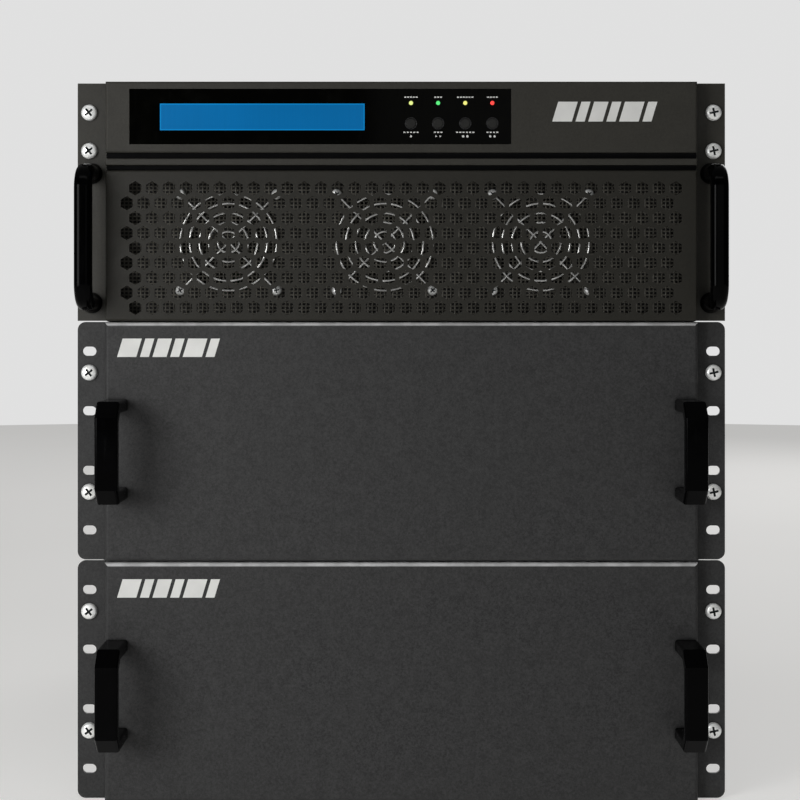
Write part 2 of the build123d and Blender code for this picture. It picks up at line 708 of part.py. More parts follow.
def lcd_module():
    """The character screen: its glass fills the window's aperture and its body lies behind."""
    gap = FIT_GAP / 2
    glass = BEZEL_FACE + WINDOW_INSET + LCD_INSET
    behind = BEZEL_FACE + WINDOW_INSET + WINDOW_SHEET + gap
    with BuildPart() as screen:
        slab((LCD_LEFT + gap, glass, LCD_BOTTOM + gap), (LCD_RIGHT - gap, behind, LCD_TOP - gap))
        slab(
            (LCD_LEFT - LCD_MARGIN, behind, LCD_BOTTOM - LCD_MARGIN),
            (LCD_RIGHT + LCD_MARGIN, behind + LCD_BODY - 1, LCD_TOP + LCD_MARGIN),
        )
    return screen


def display_board():
    """The lamp and key board, with a switch behind each key."""
    with BuildPart() as board:
        slab(
            (-6, BOARD_FACE, WINDOW_BOTTOM + 4),
            (WINDOW_RIGHT - 4, BOARD_FACE + BOARD_SHEET, WINDOW_TOP - 4),
        )
        for x in KEY_X:
            centred(x, KEY_Z, (6, SWITCH_HEIGHT, 6), BOARD_FACE - SWITCH_HEIGHT)
    return board


def status_leds():
    """Four round-topped lamps, each standing in its hole in the lens."""
    front = BEZEL_FACE + WINDOW_INSET - LED_PROUD
    with BuildPart() as lamp:
        with BuildSketch(Plane.XY):
            with BuildLine():
                Polyline((0, front), (0, BOARD_FACE), (LED_R, BOARD_FACE), (LED_R, front + LED_R))
                ThreePointArc(
                    (LED_R, front + LED_R),
                    (LED_R * sin(radians(45)), front + LED_R * (1 - cos(radians(45)))),
                    (0, front),
                )
            make_face()
        revolve(axis=Axis.Y)
    with BuildPart() as lamps:
        with Locations([(x, 0, LED_Z) for x in KEY_X]):
            add(lamp.part)
    return lamps


def key(x):
    """A push button: a dished cap in the lens, a flange that keeps it in, and a stem to the switch."""
    face = BEZEL_FACE + WINDOW_INSET - KEY_PROUD
    flange_front = BEZEL_FACE + WINDOW_INSET + WINDOW_SHEET + 0.1
    stem_end = BOARD_FACE - SWITCH_HEIGHT - KEY_TRAVEL - 0.1
    with BuildPart() as button:
        with BuildSketch(front_plane(face)):
            with Locations((x, KEY_Z)):
                Circle(KEY_R)
        extrude(amount=-(flange_front - face))
        fillet(button.faces().sort_by(Axis.Y)[0].edges(), 0.5)
        with BuildSketch(front_plane(flange_front)):
            with Locations((x, KEY_Z)):
                Circle(KEY_FLANGE_R)
        extrude(amount=-KEY_FLANGE)
        with BuildSketch(front_plane(flange_front + KEY_FLANGE)):
            with Locations((x, KEY_Z)):
                Circle(KEY_STEM_R)
        extrude(amount=-(stem_end - flange_front - KEY_FLANGE))
    return button


# ---------------------------------------------------------------- intake grille and screen
def front_grille():
    """A folded pan whose face is a honeycomb of hexagonal air holes."""
    top, bottom = GRILLE_TOP, GRILLE_BOTTOM
    hex_radius = HEX_FLATS / 2
    with BuildPart() as grille:
        slab((-BEZEL_HALF, BEZEL_FACE, bottom), (BEZEL_HALF, EAR_FACE, top))
        fillet(grille.faces().sort_by(Axis.Y)[0].edges(), GRILLE_EDGE)
        inside = BEZEL_HALF - GRILLE_SHEET
        slab(
            (-inside, BEZEL_FACE + GRILLE_SHEET, bottom + GRILLE_SHEET),
            (inside, EAR_FACE, top - GRILLE_SHEET),
            Mode.SUBTRACT,
        )
        with BuildSketch(front_plane(BEZEL_FACE)):
            for row in range(HEX_ROWS):
                shift = HEX_STEP_X / 4 * (1 if row % 2 == 0 else -1)
                with Locations((shift, HEX_TOP_Z - row * HEX_STEP_Z)):
                    with GridLocations(HEX_STEP_X, 1, HEX_COLUMNS, 1):
                        RegularPolygon(hex_radius, 6, major_radius=False, rotation=30)
        extrude(amount=-GRILLE_SHEET, mode=Mode.SUBTRACT)
    return grille


def fan_corners():
    """The twelve fan fixing points, as (x, z)."""
    return [
        (x + i * FAN_HOLE, FAN_Z + j * FAN_HOLE)
        for x in FAN_X.values()
        for i in (-1, 1)
        for j in (-1, 1)
    ]


def intake_screen():
    """The fine screen across the intake; its mesh is drawn here as a plain sheet."""
    edge = BEZEL_HALF - GRILLE_SHEET - 1
    with BuildPart() as screen:
        slab(
            (-edge, EAR_FACE - SCREEN_SHEET, GRILLE_BOTTOM + GRILLE_SHEET + 1),
            (edge, EAR_FACE, GRILLE_TOP - GRILLE_SHEET - 1),
        )
        with BuildSketch(front_plane(EAR_FACE - SCREEN_SHEET)):
            with Locations(fan_corners()):
                Circle(FAN_HOLE_R)
        extrude(amount=-SCREEN_SHEET, mode=Mode.SUBTRACT)
    return screen


# ---------------------------------------------------------------- fans, drawn at x = z = 0
def fan_frame():
    """A square fan housing with its motor plate and four struts at the back."""
    back = FAN_FACE + FAN_DEPTH
    half = FAN_SIZE / 2
    with BuildPart() as frame:
        slab((-half, FAN_FACE, -half), (half, back, half))
        fillet(frame.edges().filter_by(Axis.Y), 4)
        with BuildSketch(front_plane(FAN_FACE)):
            Circle(FAN_DUCT_R)
            with GridLocations(2 * FAN_HOLE, 2 * FAN_HOLE, 2, 2):
                Circle(FAN_HOLE_R)
        extrude(amount=-FAN_DEPTH, mode=Mode.SUBTRACT)
        with BuildSketch(front_plane(back - FAN_PLATE)):
            Circle(FAN_HUB_R)
            with Locations(Rotation(0, 0, 45)):
                Rectangle(2 * FAN_DUCT_R + 4, 5)
            with Locations(Rotation(0, 0, -45)):
                Rectangle(2 * FAN_DUCT_R + 4, 5)
        extrude(amount=-FAN_PLATE)
        with BuildSketch(front_plane(back - FAN_PLATE)):
            Circle(FAN_BORE_R)
        extrude(amount=-FAN_PLATE, mode=Mode.SUBTRACT)
    return frame


def fan_rotor():
    """A hub with swept blades, turning on a shaft that runs back into the motor plate."""
    hub_front = FAN_FACE + 2
    hub_back = FAN_FACE + FAN_DEPTH - FAN_PLATE - 1
    middle = (hub_front + hub_back) / 2
    with BuildPart() as rotor:
        with BuildSketch(front_plane(hub_front)):
            Circle(FAN_HUB_R)
        extrude(amount=hub_front - hub_back)
        fillet(rotor.faces().sort_by(Axis.Y)[0].edges(), 2)
        with BuildSketch(front_plane(hub_back)):
            Circle(FAN_SHAFT_R)
        extrude(amount=-FAN_PLATE)
        for i in range(FAN_BLADES):
            turn = 360 / FAN_BLADES * i
            out = Vector(cos(radians(turn)), 0, sin(radians(turn)))
            root = Plane(origin=Vector(0, middle, 0) + out * (FAN_HUB_R - 2), x_dir=(0, 1, 0), z_dir=out)
            tip = Plane(origin=Vector(0, middle, 0) + out * FAN_BLADE_R, x_dir=(0, 1, 0), z_dir=out)
            with BuildSketch(root):
                Rectangle(14, 1.8, rotation=38)
            with BuildSketch(tip):
                Rectangle(22, 1.4, rotation=56)
            loft()
    return rotor


def fan_guard():
    """A wire finger guard: five rings on two crossed spokes that end in screw eyes."""
    with BuildPart() as guard:
        ring_frame = Plane(origin=(0, GUARD_RING_Y, 0), z_dir=(0, -1, 0))
        spoke_frame = Plane(origin=(0, GUARD_SPOKE_Y, 0), z_dir=(0, -1, 0))
        for radius in GUARD_RINGS:
            with Locations(ring_frame):
                Torus(radius, GUARD_WIRE_R)
        for i, j in ((-1, -1), (-1, 1), (1, -1), (1, 1)):
            eye = Plane(origin=(i * FAN_HOLE, GUARD_SPOKE_Y, j * FAN_HOLE), z_dir=(0, -1, 0))
            with Locations(eye):
                Torus(GUARD_EYE_R, GUARD_WIRE_R)
        reach = FAN_HOLE * 2**0.5 - GUARD_EYE_R
        for tilt in (45, 135):
            along = Vector(cos(radians(tilt)), 0, sin(radians(tilt)))
            with Locations(Plane(origin=spoke_frame.origin, z_dir=along)):
                Cylinder(GUARD_WIRE_R, 2 * reach)
    return guard


def fan_screws():
    """Twelve screws, each through a guard eye and the screen into a fan housing."""
    seat = GUARD_SPOKE_Y - GUARD_WIRE_R
    with BuildPart() as screw:
        with BuildSketch(front_plane(seat)):
            Circle(FAN_SCREW_HEAD_R)
        extrude(amount=FAN_SCREW_HEAD_H)
        fillet(screw.faces().sort_by(Axis.Y)[0].edges(), 1)
        with BuildSketch(front_plane(seat)):
            Circle(FAN_SCREW_R)
        extrude(amount=-FAN_SCREW_LENGTH)
        top = seat - FAN_SCREW_HEAD_H
        slab((-2, top, -0.5), (2, top + 1.2, 0.5), Mode.SUBTRACT)
        slab((-0.5, top, -2), (0.5, top + 1.2, 2), Mode.SUBTRACT)
    with BuildPart() as screws:
        with Locations([(x, 0, z) for x, z in fan_corners()]):
            add(screw.part)
    return screws


# ---------------------------------------------------------------- power module handles
def pull_handle(side):
    """A tall rounded bow handle with flared feet, standing on an ear."""
    x = side * EAR_CENTRE_X
    foot_z = PULL_FOOT_R
    grip_y = EAR_FACE - PULL_REACH + PULL_THICK / 2
    low, high = PULL_BOTTOM + foot_z, PULL_TOP - foot_z
    with BuildPart() as handle:
        with BuildLine():
            path = FilletPolyline(
                (x, EAR_FACE, low),
                (x, grip_y, low),
                (x, grip_y, high),
                (x, EAR_FACE, high),
                radius=PULL_BEND,
            )
        with BuildSketch(Plane(origin=path @ 0, x_dir=(1, 0, 0), z_dir=path % 0)):
            RectangleRounded(PULL_WIDTH, PULL_THICK, 4.6)
        sweep(path=path)
        for z in (low, high):
            with BuildSketch(front_plane(EAR_FACE)):
                with Locations((x, z)):
                    Circle(PULL_FOOT_R)
            with BuildSketch(front_plane(EAR_FACE - PULL_FOOT)):
                with Locations((x, z)):
                    Circle(PULL_THICK / 2 + 0.6)
            loft()
    return handle


# ---------------------------------------------------------------- power stage
def power_board():
    """The main board on its spacers, with the filter chokes soldered to it."""
    board_z = 12.0
    back = WALL_INSIDE - 75
    with BuildPart() as board:
        slab((-200, back - 330, board_z), (200, back, board_z + 2))
        with Locations([(x, y, SHEET) for x in (-190, 0, 190) for y in (back - 320, back - 10)]):
            Cylinder(3.5, board_z - SHEET, align=(Align.CENTER, Align.CENTER, Align.MIN))
        with Locations((-150, back - 40, board_z + 2), (-150, back - 105, board_z + 2)):
            Cylinder(28, 40, align=(Align.CENTER, Align.CENTER, Align.MIN))
            Cylinder(12, 40, align=(Align.CENTER, Align.CENTER, Align.MIN), mode=Mode.SUBTRACT)
    return board


def heatsinks():
    """Two extruded heatsinks whose fins run along the air flow."""
    board_top, height, depth, fins = 14.0, 85.0, 220.0, 9
    back = WALL_INSIDE - 150
    with BuildPart() as sinks:
        for centre in (-55, 75):
            slab((centre - 42, back - depth, board_top), (centre + 42, back, board_top + 8))
            for i in range(fins):
                x = centre - 40 + i * 10
                slab((x - 1, back - depth, board_top + 8), (x + 1, back, board_top + height))
    return sinks


def capacitors():
    """Two rows of bus capacitors."""
    back = WALL_INSIDE - 150
    with BuildPart() as bank:
        with Locations([(x, back - 20 - 40 * i, 14) for x in (142, 180) for i in range(6)]):
            Cylinder(17.5, 52, align=(Align.CENTER, Align.CENTER, Align.MIN))
    return bank


# ---------------------------------------------------------------- write every piece
def write_battery_modules():
    pieces = {
        "case": battery_case(),
        "cover": case_cover(),
        "ears": battery_ears(),
        "rack_screws": rack_screws(BATTERY_SCREWS),
        "front_panel": battery_front_panel(),
        "handle_left": bow_handle(-1),
        "handle_right": bow_handle(1),
        "batteries": battery_blocks(),
        "breaker": breaker(BATTERY_BREAKER),
        "breaker_lever": breaker_lever(BATTERY_BREAKER),
        "battery_sockets": battery_sockets(),
    }
    for module, level in BATTERY_LEVELS.items():
        for name, piece in pieces.items():
            save(piece, f"{module}_{name}", level)


def write_power_module():
    pieces = {
        "ups_case": ups_case(),
        "ups_cover": case_cover(),
        "ups_ear_left": rack_ear(-1, UPS_SCREWS, 0),
        "ups_ear_right": rack_ear(1, UPS_SCREWS, 0),
        "ups_rack_screws": rack_screws(UPS_SCREWS),
        "ups_handle_left": pull_handle(-1),
        "ups_handle_right": pull_handle(1),
        "display_bezel": display_bezel(),
        "display_window": display_window(),
        "lcd_module": lcd_module(),
        "display_board": display_board(),
        "status_leds": status_leds(),
        "front_grille": front_grille(),
        "intake_screen": intake_screen(),
        "fan_screws": fan_screws(),
        "power_board": power_board(),
        "heatsinks": heatsinks(),
        "capacitors": capacitors(),
        "ups_breaker": breaker(UPS_BREAKER),
        "ups_breaker_lever": breaker_lever(UPS_BREAKER),
        "ups_battery_socket": battery_socket(UPS_SOCKET),
        "output_sockets": output_sockets(),
        "terminal_block": terminal_block(),
        "terminal_cover": terminal_cover(),
        "interface_panel": interface_panel(),
    }
    for number, x in enumerate(KEY_X, start=1):
        pieces[f"button_{number}"] = key(x)
    for name, piece in pieces.items():
        save(piece, name, TOP)

    fan_pieces = {"fan_frame": fan_frame(), "fan_rotor": fan_rotor(), "fan_guard": fan_guard()}
    for place, x in FAN_X.items():
        for name, piece in fan_pieces.items():
            save(piece, f"{name}_{place}", TOP, offset=(x, 0, FAN_Z))


os.makedirs("parts", exist_ok=True)
write_battery_modules()
write_power_module()
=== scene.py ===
import json
import math
import bmesh
import bpy
from mathutils import Matrix, Vector


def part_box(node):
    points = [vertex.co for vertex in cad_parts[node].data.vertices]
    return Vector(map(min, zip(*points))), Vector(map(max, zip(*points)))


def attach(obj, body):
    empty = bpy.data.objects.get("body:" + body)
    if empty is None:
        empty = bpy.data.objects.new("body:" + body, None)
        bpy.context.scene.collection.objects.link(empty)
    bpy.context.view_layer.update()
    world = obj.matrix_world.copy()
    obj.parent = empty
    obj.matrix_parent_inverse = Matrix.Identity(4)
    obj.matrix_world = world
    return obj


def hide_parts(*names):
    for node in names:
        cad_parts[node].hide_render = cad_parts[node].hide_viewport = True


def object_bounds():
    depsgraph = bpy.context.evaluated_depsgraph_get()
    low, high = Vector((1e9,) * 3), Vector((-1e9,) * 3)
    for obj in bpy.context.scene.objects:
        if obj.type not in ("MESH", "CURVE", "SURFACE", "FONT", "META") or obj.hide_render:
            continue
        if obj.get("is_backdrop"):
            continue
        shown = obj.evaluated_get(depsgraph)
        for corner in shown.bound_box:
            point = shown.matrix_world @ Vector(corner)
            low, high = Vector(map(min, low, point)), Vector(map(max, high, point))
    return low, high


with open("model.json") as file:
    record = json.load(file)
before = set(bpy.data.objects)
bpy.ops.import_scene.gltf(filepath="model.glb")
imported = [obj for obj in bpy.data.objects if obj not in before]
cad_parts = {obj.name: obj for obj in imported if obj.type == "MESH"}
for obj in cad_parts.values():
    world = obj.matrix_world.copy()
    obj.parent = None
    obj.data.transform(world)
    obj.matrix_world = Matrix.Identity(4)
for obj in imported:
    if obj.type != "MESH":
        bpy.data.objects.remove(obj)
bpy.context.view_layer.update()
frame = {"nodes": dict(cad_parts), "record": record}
nodes = frame["nodes"]

MM = 0.001
UP = Vector((0, 0, 1))
BACKWARD = Vector((0, 1, 0))
MODULE_BODIES = {
    "lower": "lower_battery_module",
    "upper": "upper_battery_module",
    "ups": "ups_module",
}
BATTERY_MODULES = ("lower", "upper")
FAN_PLACES = ("left", "middle", "right")
EAR_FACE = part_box("ups_ear_left")[0].y
EAR_THICKNESS = 2.5 * MM
REAR_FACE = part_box("ups_case")[1].y
PRINT_THICKNESS = 0.06 * MM


# ------------------------------------------------------------------ materials
class Paint:
    """A material under construction: a Principled shader and short calls that add nodes to it."""

    def __init__(self, name, color, roughness, metallic=0.0, specular=0.5):
        self.material = bpy.data.materials.new(name)
        self.material.use_nodes = True
        self.tree = self.material.node_tree
        self.surface = self.tree.nodes["Principled BSDF"]
        self.surface.inputs["Metallic"].default_value = metallic
        self.surface.inputs["Specular IOR Level"].default_value = specular
        self.surface.inputs["Roughness"].default_value = roughness
        self.surface.inputs["Base Color"].default_value = (*color, 1)
        self.place = self.add("ShaderNodeTexCoord").outputs["Object"]

    def add(self, kind, **settings):
        node = self.tree.nodes.new(kind)
        for name, value in settings.items():
            setattr(node, name, value)
        return node

    def feed(self, socket, value):
        if isinstance(value, bpy.types.NodeSocket):
            self.tree.links.new(value, socket)
        else:
            socket.default_value = value

    def stretched(self, scale):
        """Object coordinates scaled differently along each axis."""
        mapping = self.add("ShaderNodeMapping")
        self.feed(mapping.inputs["Vector"], self.place)
        mapping.inputs["Scale"].default_value = scale
        return mapping.outputs["Vector"]

    def noise(self, scale, detail, stretch=None):
        node = self.add("ShaderNodeTexNoise")
        self.feed(node.inputs["Vector"], self.stretched(stretch) if stretch else self.place)
        node.inputs["Scale"].default_value = scale
        node.inputs["Detail"].default_value = detail
        return node.outputs["Fac"]

    def cells(self, scale):
        """The distance to the nearest border between irregular cells."""
        node = self.add("ShaderNodeTexVoronoi", feature="DISTANCE_TO_EDGE")
        self.feed(node.inputs["Vector"], self.place)
        node.inputs["Scale"].default_value = scale
        return node.outputs["Distance"]

    def math(self, operation, a, b):
        node = self.add("ShaderNodeMath", operation=operation)
        self.feed(node.inputs[0], a)
        self.feed(node.inputs[1], b)
        return node.outputs[0]

    def spread(self, value, low, high, out_low=0.0, out_high=1.0):
        """Maps low to high onto out_low to out_high, clamped."""
        node = self.add("ShaderNodeMapRange")
        self.feed(node.inputs["Value"], value)
        names = ("From Min", "From Max", "To Min", "To Max")
        for name, number in zip(names, (low, high, out_low, out_high)):
            node.inputs[name].default_value = number
        return node.outputs["Result"]

    def blend(self, factor, first, second):
        node = self.add("ShaderNodeMix", data_type="RGBA")
        self.feed(node.inputs["Factor"], factor)
        for name, value in (("A", first), ("B", second)):
            plain = not isinstance(value, bpy.types.NodeSocket)
            self.feed(node.inputs[name], (*value, 1) if plain else value)
        return node.outputs["Result"]

    def edges(self, radius):
        """0 on flat surfaces, rising towards 1 on sharp edges."""
        bevel = self.add("ShaderNodeBevel", samples=6)
        bevel.inputs["Radius"].default_value = radius
        flat = self.add("ShaderNodeNewGeometry").outputs["Normal"]
        dot = self.add("ShaderNodeVectorMath", operation="DOT_PRODUCT")
        self.feed(dot.inputs[0], bevel.outputs["Normal"])
        self.feed(dot.inputs[1], flat)
        return self.spread(dot.outputs["Value"], 0.98, 0.75)

    def upward(self, low, high):
        """0 where the surface is upright, rising to 1 as it turns to face up."""
        split = self.add("ShaderNodeSeparateXYZ")
        self.feed(split.inputs[0], self.add("ShaderNodeNewGeometry").outputs["Normal"])
        return self.spread(split.outputs["Z"], low, high)

    def crevice(self, reach):
        """1 on open surfaces, falling towards 0 in corners and gaps narrower than reach."""
        node = self.add("ShaderNodeAmbientOcclusion", samples=6, only_local=False)
        node.inputs["Distance"].default_value = reach
        return self.spread(node.outputs["AO"], 0.40, 0.80)

    def depth(self):
        """The object's own Y coordinate, in metres."""
        split = self.add("ShaderNodeSeparateXYZ")
        self.feed(split.inputs[0], self.place)
        return split.outputs["Y"]

    def set_color(self, value):
        self.feed(self.surface.inputs["Base Color"], value)

    def set_roughness(self, value):
        self.feed(self.surface.inputs["Roughness"], value)

    def bump(self, height, distance, strength):
        node = self.add("ShaderNodeBump")
        node.inputs["Strength"].default_value = strength
        node.inputs["Distance"].default_value = distance
        self.feed(node.inputs["Height"], height)
        self.feed(self.surface.inputs["Normal"], node.outputs["Normal"])


SEAM = 0.1 * MM
PRIMER_BLACK = (0.002, 0.002, 0.002)
BARE_EDGE = (0.16, 0.15, 0.14)


def scaled(color, factor):
    return tuple(min(1.0, c * factor) for c in color)


def powder_coat(
    name, color, roughness, mottle, grain=0.09 * MM, wear_and_highlight_color=BARE_EDGE, fold_highlight=False, corner_shade=0.0,
    primer=None,
):
    """Fine-textured powder coat: tight orange peel, flecked tone and paint rubbed off along the
    edges.

    mottle is how far the tone strays from the colour, and wear_and_highlight_color is the colour of
    the rubbed places. With fold_highlight that colour is instead a painted highlight along the
    rounded fold that faces up. With corner_shade, painted shade darkens corners and gaps up to that
    far from their walls. What lies in front of y = primer is left in black primer."""
    paint = Paint(name, color, roughness, specular=0.22)
    tone = paint.math("MULTIPLY", paint.noise(1200, 2), 0.40)
    for scale, share in ((520, 0.40), (110, 0.20)):
        tone = paint.math("ADD", tone, paint.math("MULTIPLY", paint.noise(scale, 2), share))
    flecks = paint.spread(tone, 0.38, 0.62)
    body = paint.blend(flecks, scaled(color, 1 - mottle), scaled(color, 1 + mottle))
    patchy = paint.spread(paint.noise(90, 3), 0.40, 0.62, 0.7, 0.98)
    # With the fold switch set, this mask paints a highlight along folds that face up; otherwise it
    # marks the worn edges.
    edge_wear_and_fold_highlight = paint.upward(0.10, 0.42) if fold_highlight else paint.edges(0.9 * MM)
    rub_and_highlight = paint.math("MULTIPLY", edge_wear_and_fold_highlight, patchy)
    if primer:
        coated = paint.spread(paint.depth(), primer, primer + SEAM)
        body = paint.blend(coated, PRIMER_BLACK, body)
    # Painted shade: ambient occlusion darkens corners and gaps.
    if corner_shade:
        body = paint.blend(paint.crevice(corner_shade), scaled(color, 0.12), body)
    paint.set_color(paint.blend(rub_and_highlight, body, wear_and_highlight_color))
    haze = paint.noise(60, 3)
    paint.set_roughness(paint.spread(haze, 0.3, 0.7, roughness - 0.06, roughness + 0.08))
    peel = paint.math("MULTIPLY", paint.noise(320, 2), 0.6)
    paint.bump(paint.math("ADD", paint.noise(950, 2), peel), grain, 0.8)
    return paint.material


def bright_metal(name, color, roughness, tint, metallic=1.0):
    """Plated or polished metal with faint blotches of tint, uneven gloss and a fine grain."""
    paint = Paint(name, color, roughness, metallic=metallic)
    paint.set_color(paint.blend(paint.spread(paint.noise(240, 3), 0.45, 0.75, 0, 0.5), color, tint))
    haze = paint.noise(600, 3)
    paint.set_roughness(paint.spread(haze, 0.3, 0.7, roughness - 0.05, roughness + 0.12))
    paint.bump(paint.noise(2600, 2), 0.02 * MM, 0.5)
    return paint.material


def handled(paint, color, darker, lighter, roughness):
    """Gives moulded plastic the uneven gloss of handling, and returns its cloudy colour."""
    cloud = paint.spread(paint.noise(70, 3), 0.35, 0.65)
    haze = paint.noise(140, 4)
    paint.set_roughness(paint.spread(haze, 0.35, 0.7, roughness - 0.05, roughness + 0.1))
    return paint.blend(cloud, scaled(color, darker), scaled(color, lighter))


def moulded(name, color, roughness, specular=0.45, grain=0.04 * MM, scale=1300, variation=0.12):
    """Moulded plastic with a spark-eroded grain and slight handling marks."""
    paint = Paint(name, color, roughness, specular=specular)
    paint.set_color(handled(paint, color, 1 - variation, 1 + variation, roughness))
    paint.bump(paint.noise(scale, 2), grain, 0.6)
    return paint.material


def two_tone_plastic(name, color, roughness, inner, seam):
    """Moulded plastic of one colour behind y = seam and of the colour inner in front of it."""
    paint = Paint(name, color, roughness, specular=0.45)
    outer = handled(paint, color, 0.94, 1.05, roughness)
    paint.set_color(paint.blend(paint.spread(paint.depth(), seam - SEAM, seam), inner, outer))
    paint.bump(paint.noise(1300, 2), 0.03 * MM, 0.6)
    return paint.material


def gloss_black(name, color, roughness, specular):
    """Polished black plastic or enamel with hairline scratches and finger smudges."""
    paint = Paint(name, color, roughness, specular=specular)
    smudge = paint.spread(paint.noise(55, 4), 0.5, 0.75)
    paint.set_color(paint.blend(smudge, color, scaled(color, 1.8)))
    hairline = paint.spread(paint.noise(420, 3, stretch=(1, 1, 0.12)), 0.6, 0.72, 0, 0.10)
    dulled = paint.spread(smudge, 0, 1, roughness, roughness + 0.1)
    paint.set_roughness(paint.math("ADD", dulled, hairline))
    paint.bump(paint.noise(180, 2), 0.02 * MM, 0.3)
    return paint.material


def lit(name, color, strength, cell=None):
    """A lit lens or screen. With cell, a faint raster of that pitch lies in the colour."""
    paint = Paint(name, color, 0.25, specular=0.12)
    glow = (*color, 1)
    if cell:
        raster = paint.add("ShaderNodeTexBrick")
        raster.offset = 0
        paint.feed(raster.inputs["Vector"], paint.stretched((1 / cell[0], 1, 1 / cell[1])))
        raster.inputs["Color1"].default_value = glow
        raster.inputs["Color2"].default_value = (*scaled(color, 0.96), 1)
        raster.inputs["Mortar"].default_value = (*scaled(color, 0.8), 1)
        glow = raster.outputs["Color"]
    shade = paint.spread(paint.noise(14, 1), 0.3, 0.7, 0.92, 1.06)
    uneven = paint.add("ShaderNodeMix", data_type="RGBA", blend_type="MULTIPLY")
    uneven.inputs["Factor"].default_value = 1
    paint.feed(uneven.inputs["A"], glow)
    paint.feed(uneven.inputs["B"], shade)
    paint.set_color(paint.blend(0.75, uneven.outputs["Result"], (0.0, 0.0, 0.0)))
    paint.feed(paint.surface.inputs["Emission Color"], uneven.outputs["Result"])
    paint.surface.inputs["Emission Strength"].default_value = strength
    return paint.material


def circuit_board(name):
    """Green solder mask with lighter copper runs below it."""
    paint = Paint(name, (0.01, 0.10, 0.04), 0.35)
    runs = paint.spread(paint.cells(160), 0.05, 0.09)
    paint.set_color(paint.blend(runs, (0.02, 0.16, 0.06), (0.008, 0.085, 0.03)))
    paint.bump(runs, 0.03 * MM, 0.5)
    return paint.material


FLOOR_GLOW = 0.44


def studio_floor(name):
    """Pale matt floor that glows a little, so that it meets the backdrop's tone."""
    paint = Paint(name, (0.60, 0.595, 0.585), 0.6, specular=0.1)
    cloud = paint.spread(paint.noise(1.3, 3), 0.35, 0.65)
    paint.set_color(paint.blend(cloud, (0.58, 0.575, 0.565), (0.62, 0.615, 0.605)))
    paint.surface.inputs["Emission Color"].default_value = (1.0, 0.99, 0.97, 1)
    paint.surface.inputs["Emission Strength"].default_value = FLOOR_GLOW
    paint.bump(paint.noise(260, 2), 0.1 * MM, 0.2)
    return paint.material


PANEL_GREY = (0.0300, 0.0300, 0.0303)
BEZEL_GREY = (0.0290, 0.0275, 0.0230)
CASE_GREY = (0.0290, 0.0290, 0.0292)
GRILLE_GREY = (0.0150, 0.0140, 0.0106)
# How far painted shade reaches out of corners and gaps.
CORNER_SHADE_REACH = 3.5 * MM

finishes = {
    "case_paint": powder_coat(
        "case_powder_coat", CASE_GREY, 0.52, mottle=0.22, primer=EAR_FACE + 0.2 * MM,
    ),
    # The panels' light rub colour is a painted highlight along their folds that face up, and their
    # corners take painted shade.
    "front_paint": powder_coat(
        "panel_powder_coat", PANEL_GREY, 0.50, mottle=0.30, wear_and_highlight_color=(0.56, 0.56, 0.56), fold_highlight=True,
        corner_shade=CORNER_SHADE_REACH,
    ),
    # The bezel's corners and gaps take painted shade.
    "bezel_paint": powder_coat(
        "bezel_powder_coat", BEZEL_GREY, 0.48, mottle=0.16, grain=0.06 * MM,
        wear_and_highlight_color=(0.040, 0.038, 0.032), corner_shade=CORNER_SHADE_REACH,
    ),
    "zinc": bright_metal(
        "zinc_plate", (0.90, 0.91, 0.90), 0.30, tint=(0.80, 0.79, 0.72), metallic=0.35,
    ),
    "handle_black": gloss_black("handle_enamel", (0.0004, 0.0004, 0.0005), 0.10, 0.04),
    "battery_plastic": moulded("battery_case_plastic", (0.035, 0.036, 0.040), 0.55),
    "breaker_plastic": two_tone_plastic(
        "breaker_plastic", (0.50, 0.50, 0.47), 0.45, inner=(0.006, 0.006, 0.006),
        seam=REAR_FACE - 0.3 * MM,
    ),
    "lever_plastic": moulded("lever_plastic", (0.015, 0.015, 0.017), 0.4),
    "socket_plastic": moulded("socket_plastic", (0.20, 0.21, 0.22), 0.55),
    "outlet_plastic": moulded("outlet_plastic", (0.012, 0.012, 0.013), 0.42),
    "window_gloss": gloss_black("window_lens", (0.0008, 0.0008, 0.0006), 0.08, 0.05),
    "lcd_blue": moulded("display_can", (0.02, 0.02, 0.02), 0.5),
    "board": circuit_board("solder_mask"),
    "led_green": lit("lamp_base", (0.20, 0.50, 0.05), 0.2),
    "screen_mesh": moulded("mesh_fibre", (0.072, 0.067, 0.054), 0.55, scale=2200),
    "heatsink": bright_metal(
        "extruded_aluminium", (0.62, 0.62, 0.63), 0.38, tint=(0.5, 0.5, 0.5),
    ),
    "capacitor_sleeve": moulded("capacitor_sleeve", (0.012, 0.02, 0.06), 0.3),
    "fan_plastic": moulded("fan_plastic", (0.011, 0.011, 0.011), 0.42),
    "guard_chrome": bright_metal(
        "guard_chrome", (0.86, 0.86, 0.84), 0.16, tint=(0.66, 0.66, 0.64), metallic=0.6,
    ),
    "button_rubber": moulded("key_cap", (0.011, 0.011, 0.010), 0.42, specular=0.25),
}
grille_paint = powder_coat(
    "grille_powder_coat", GRILLE_GREY, 0.50, mottle=0.16, grain=0.06 * MM,
    wear_and_highlight_color=(0.030, 0.028, 0.024),
)
plate_steel = bright_metal(
    "plate_steel", (0.36, 0.37, 0.37), 0.42, tint=(0.30, 0.30, 0.29), metallic=0.6,
)
node_finishes = {"front_grille": grille_paint, "interface_panel": plate_steel}
print_ink = moulded("printing_ink", (0.62, 0.62, 0.60), 0.5, variation=0.05)
mark_ink = moulded("mark_ink", (0.66, 0.66, 0.64), 0.45, variation=0.04)
# A dark colour: painted shade in the screws' cross recesses, and dark ink for printed dashes and
# marks.
recess_shade_and_ink = moulded("recess_shade_and_ink_paint", (0.012, 0.020, 0.020), 0.6)
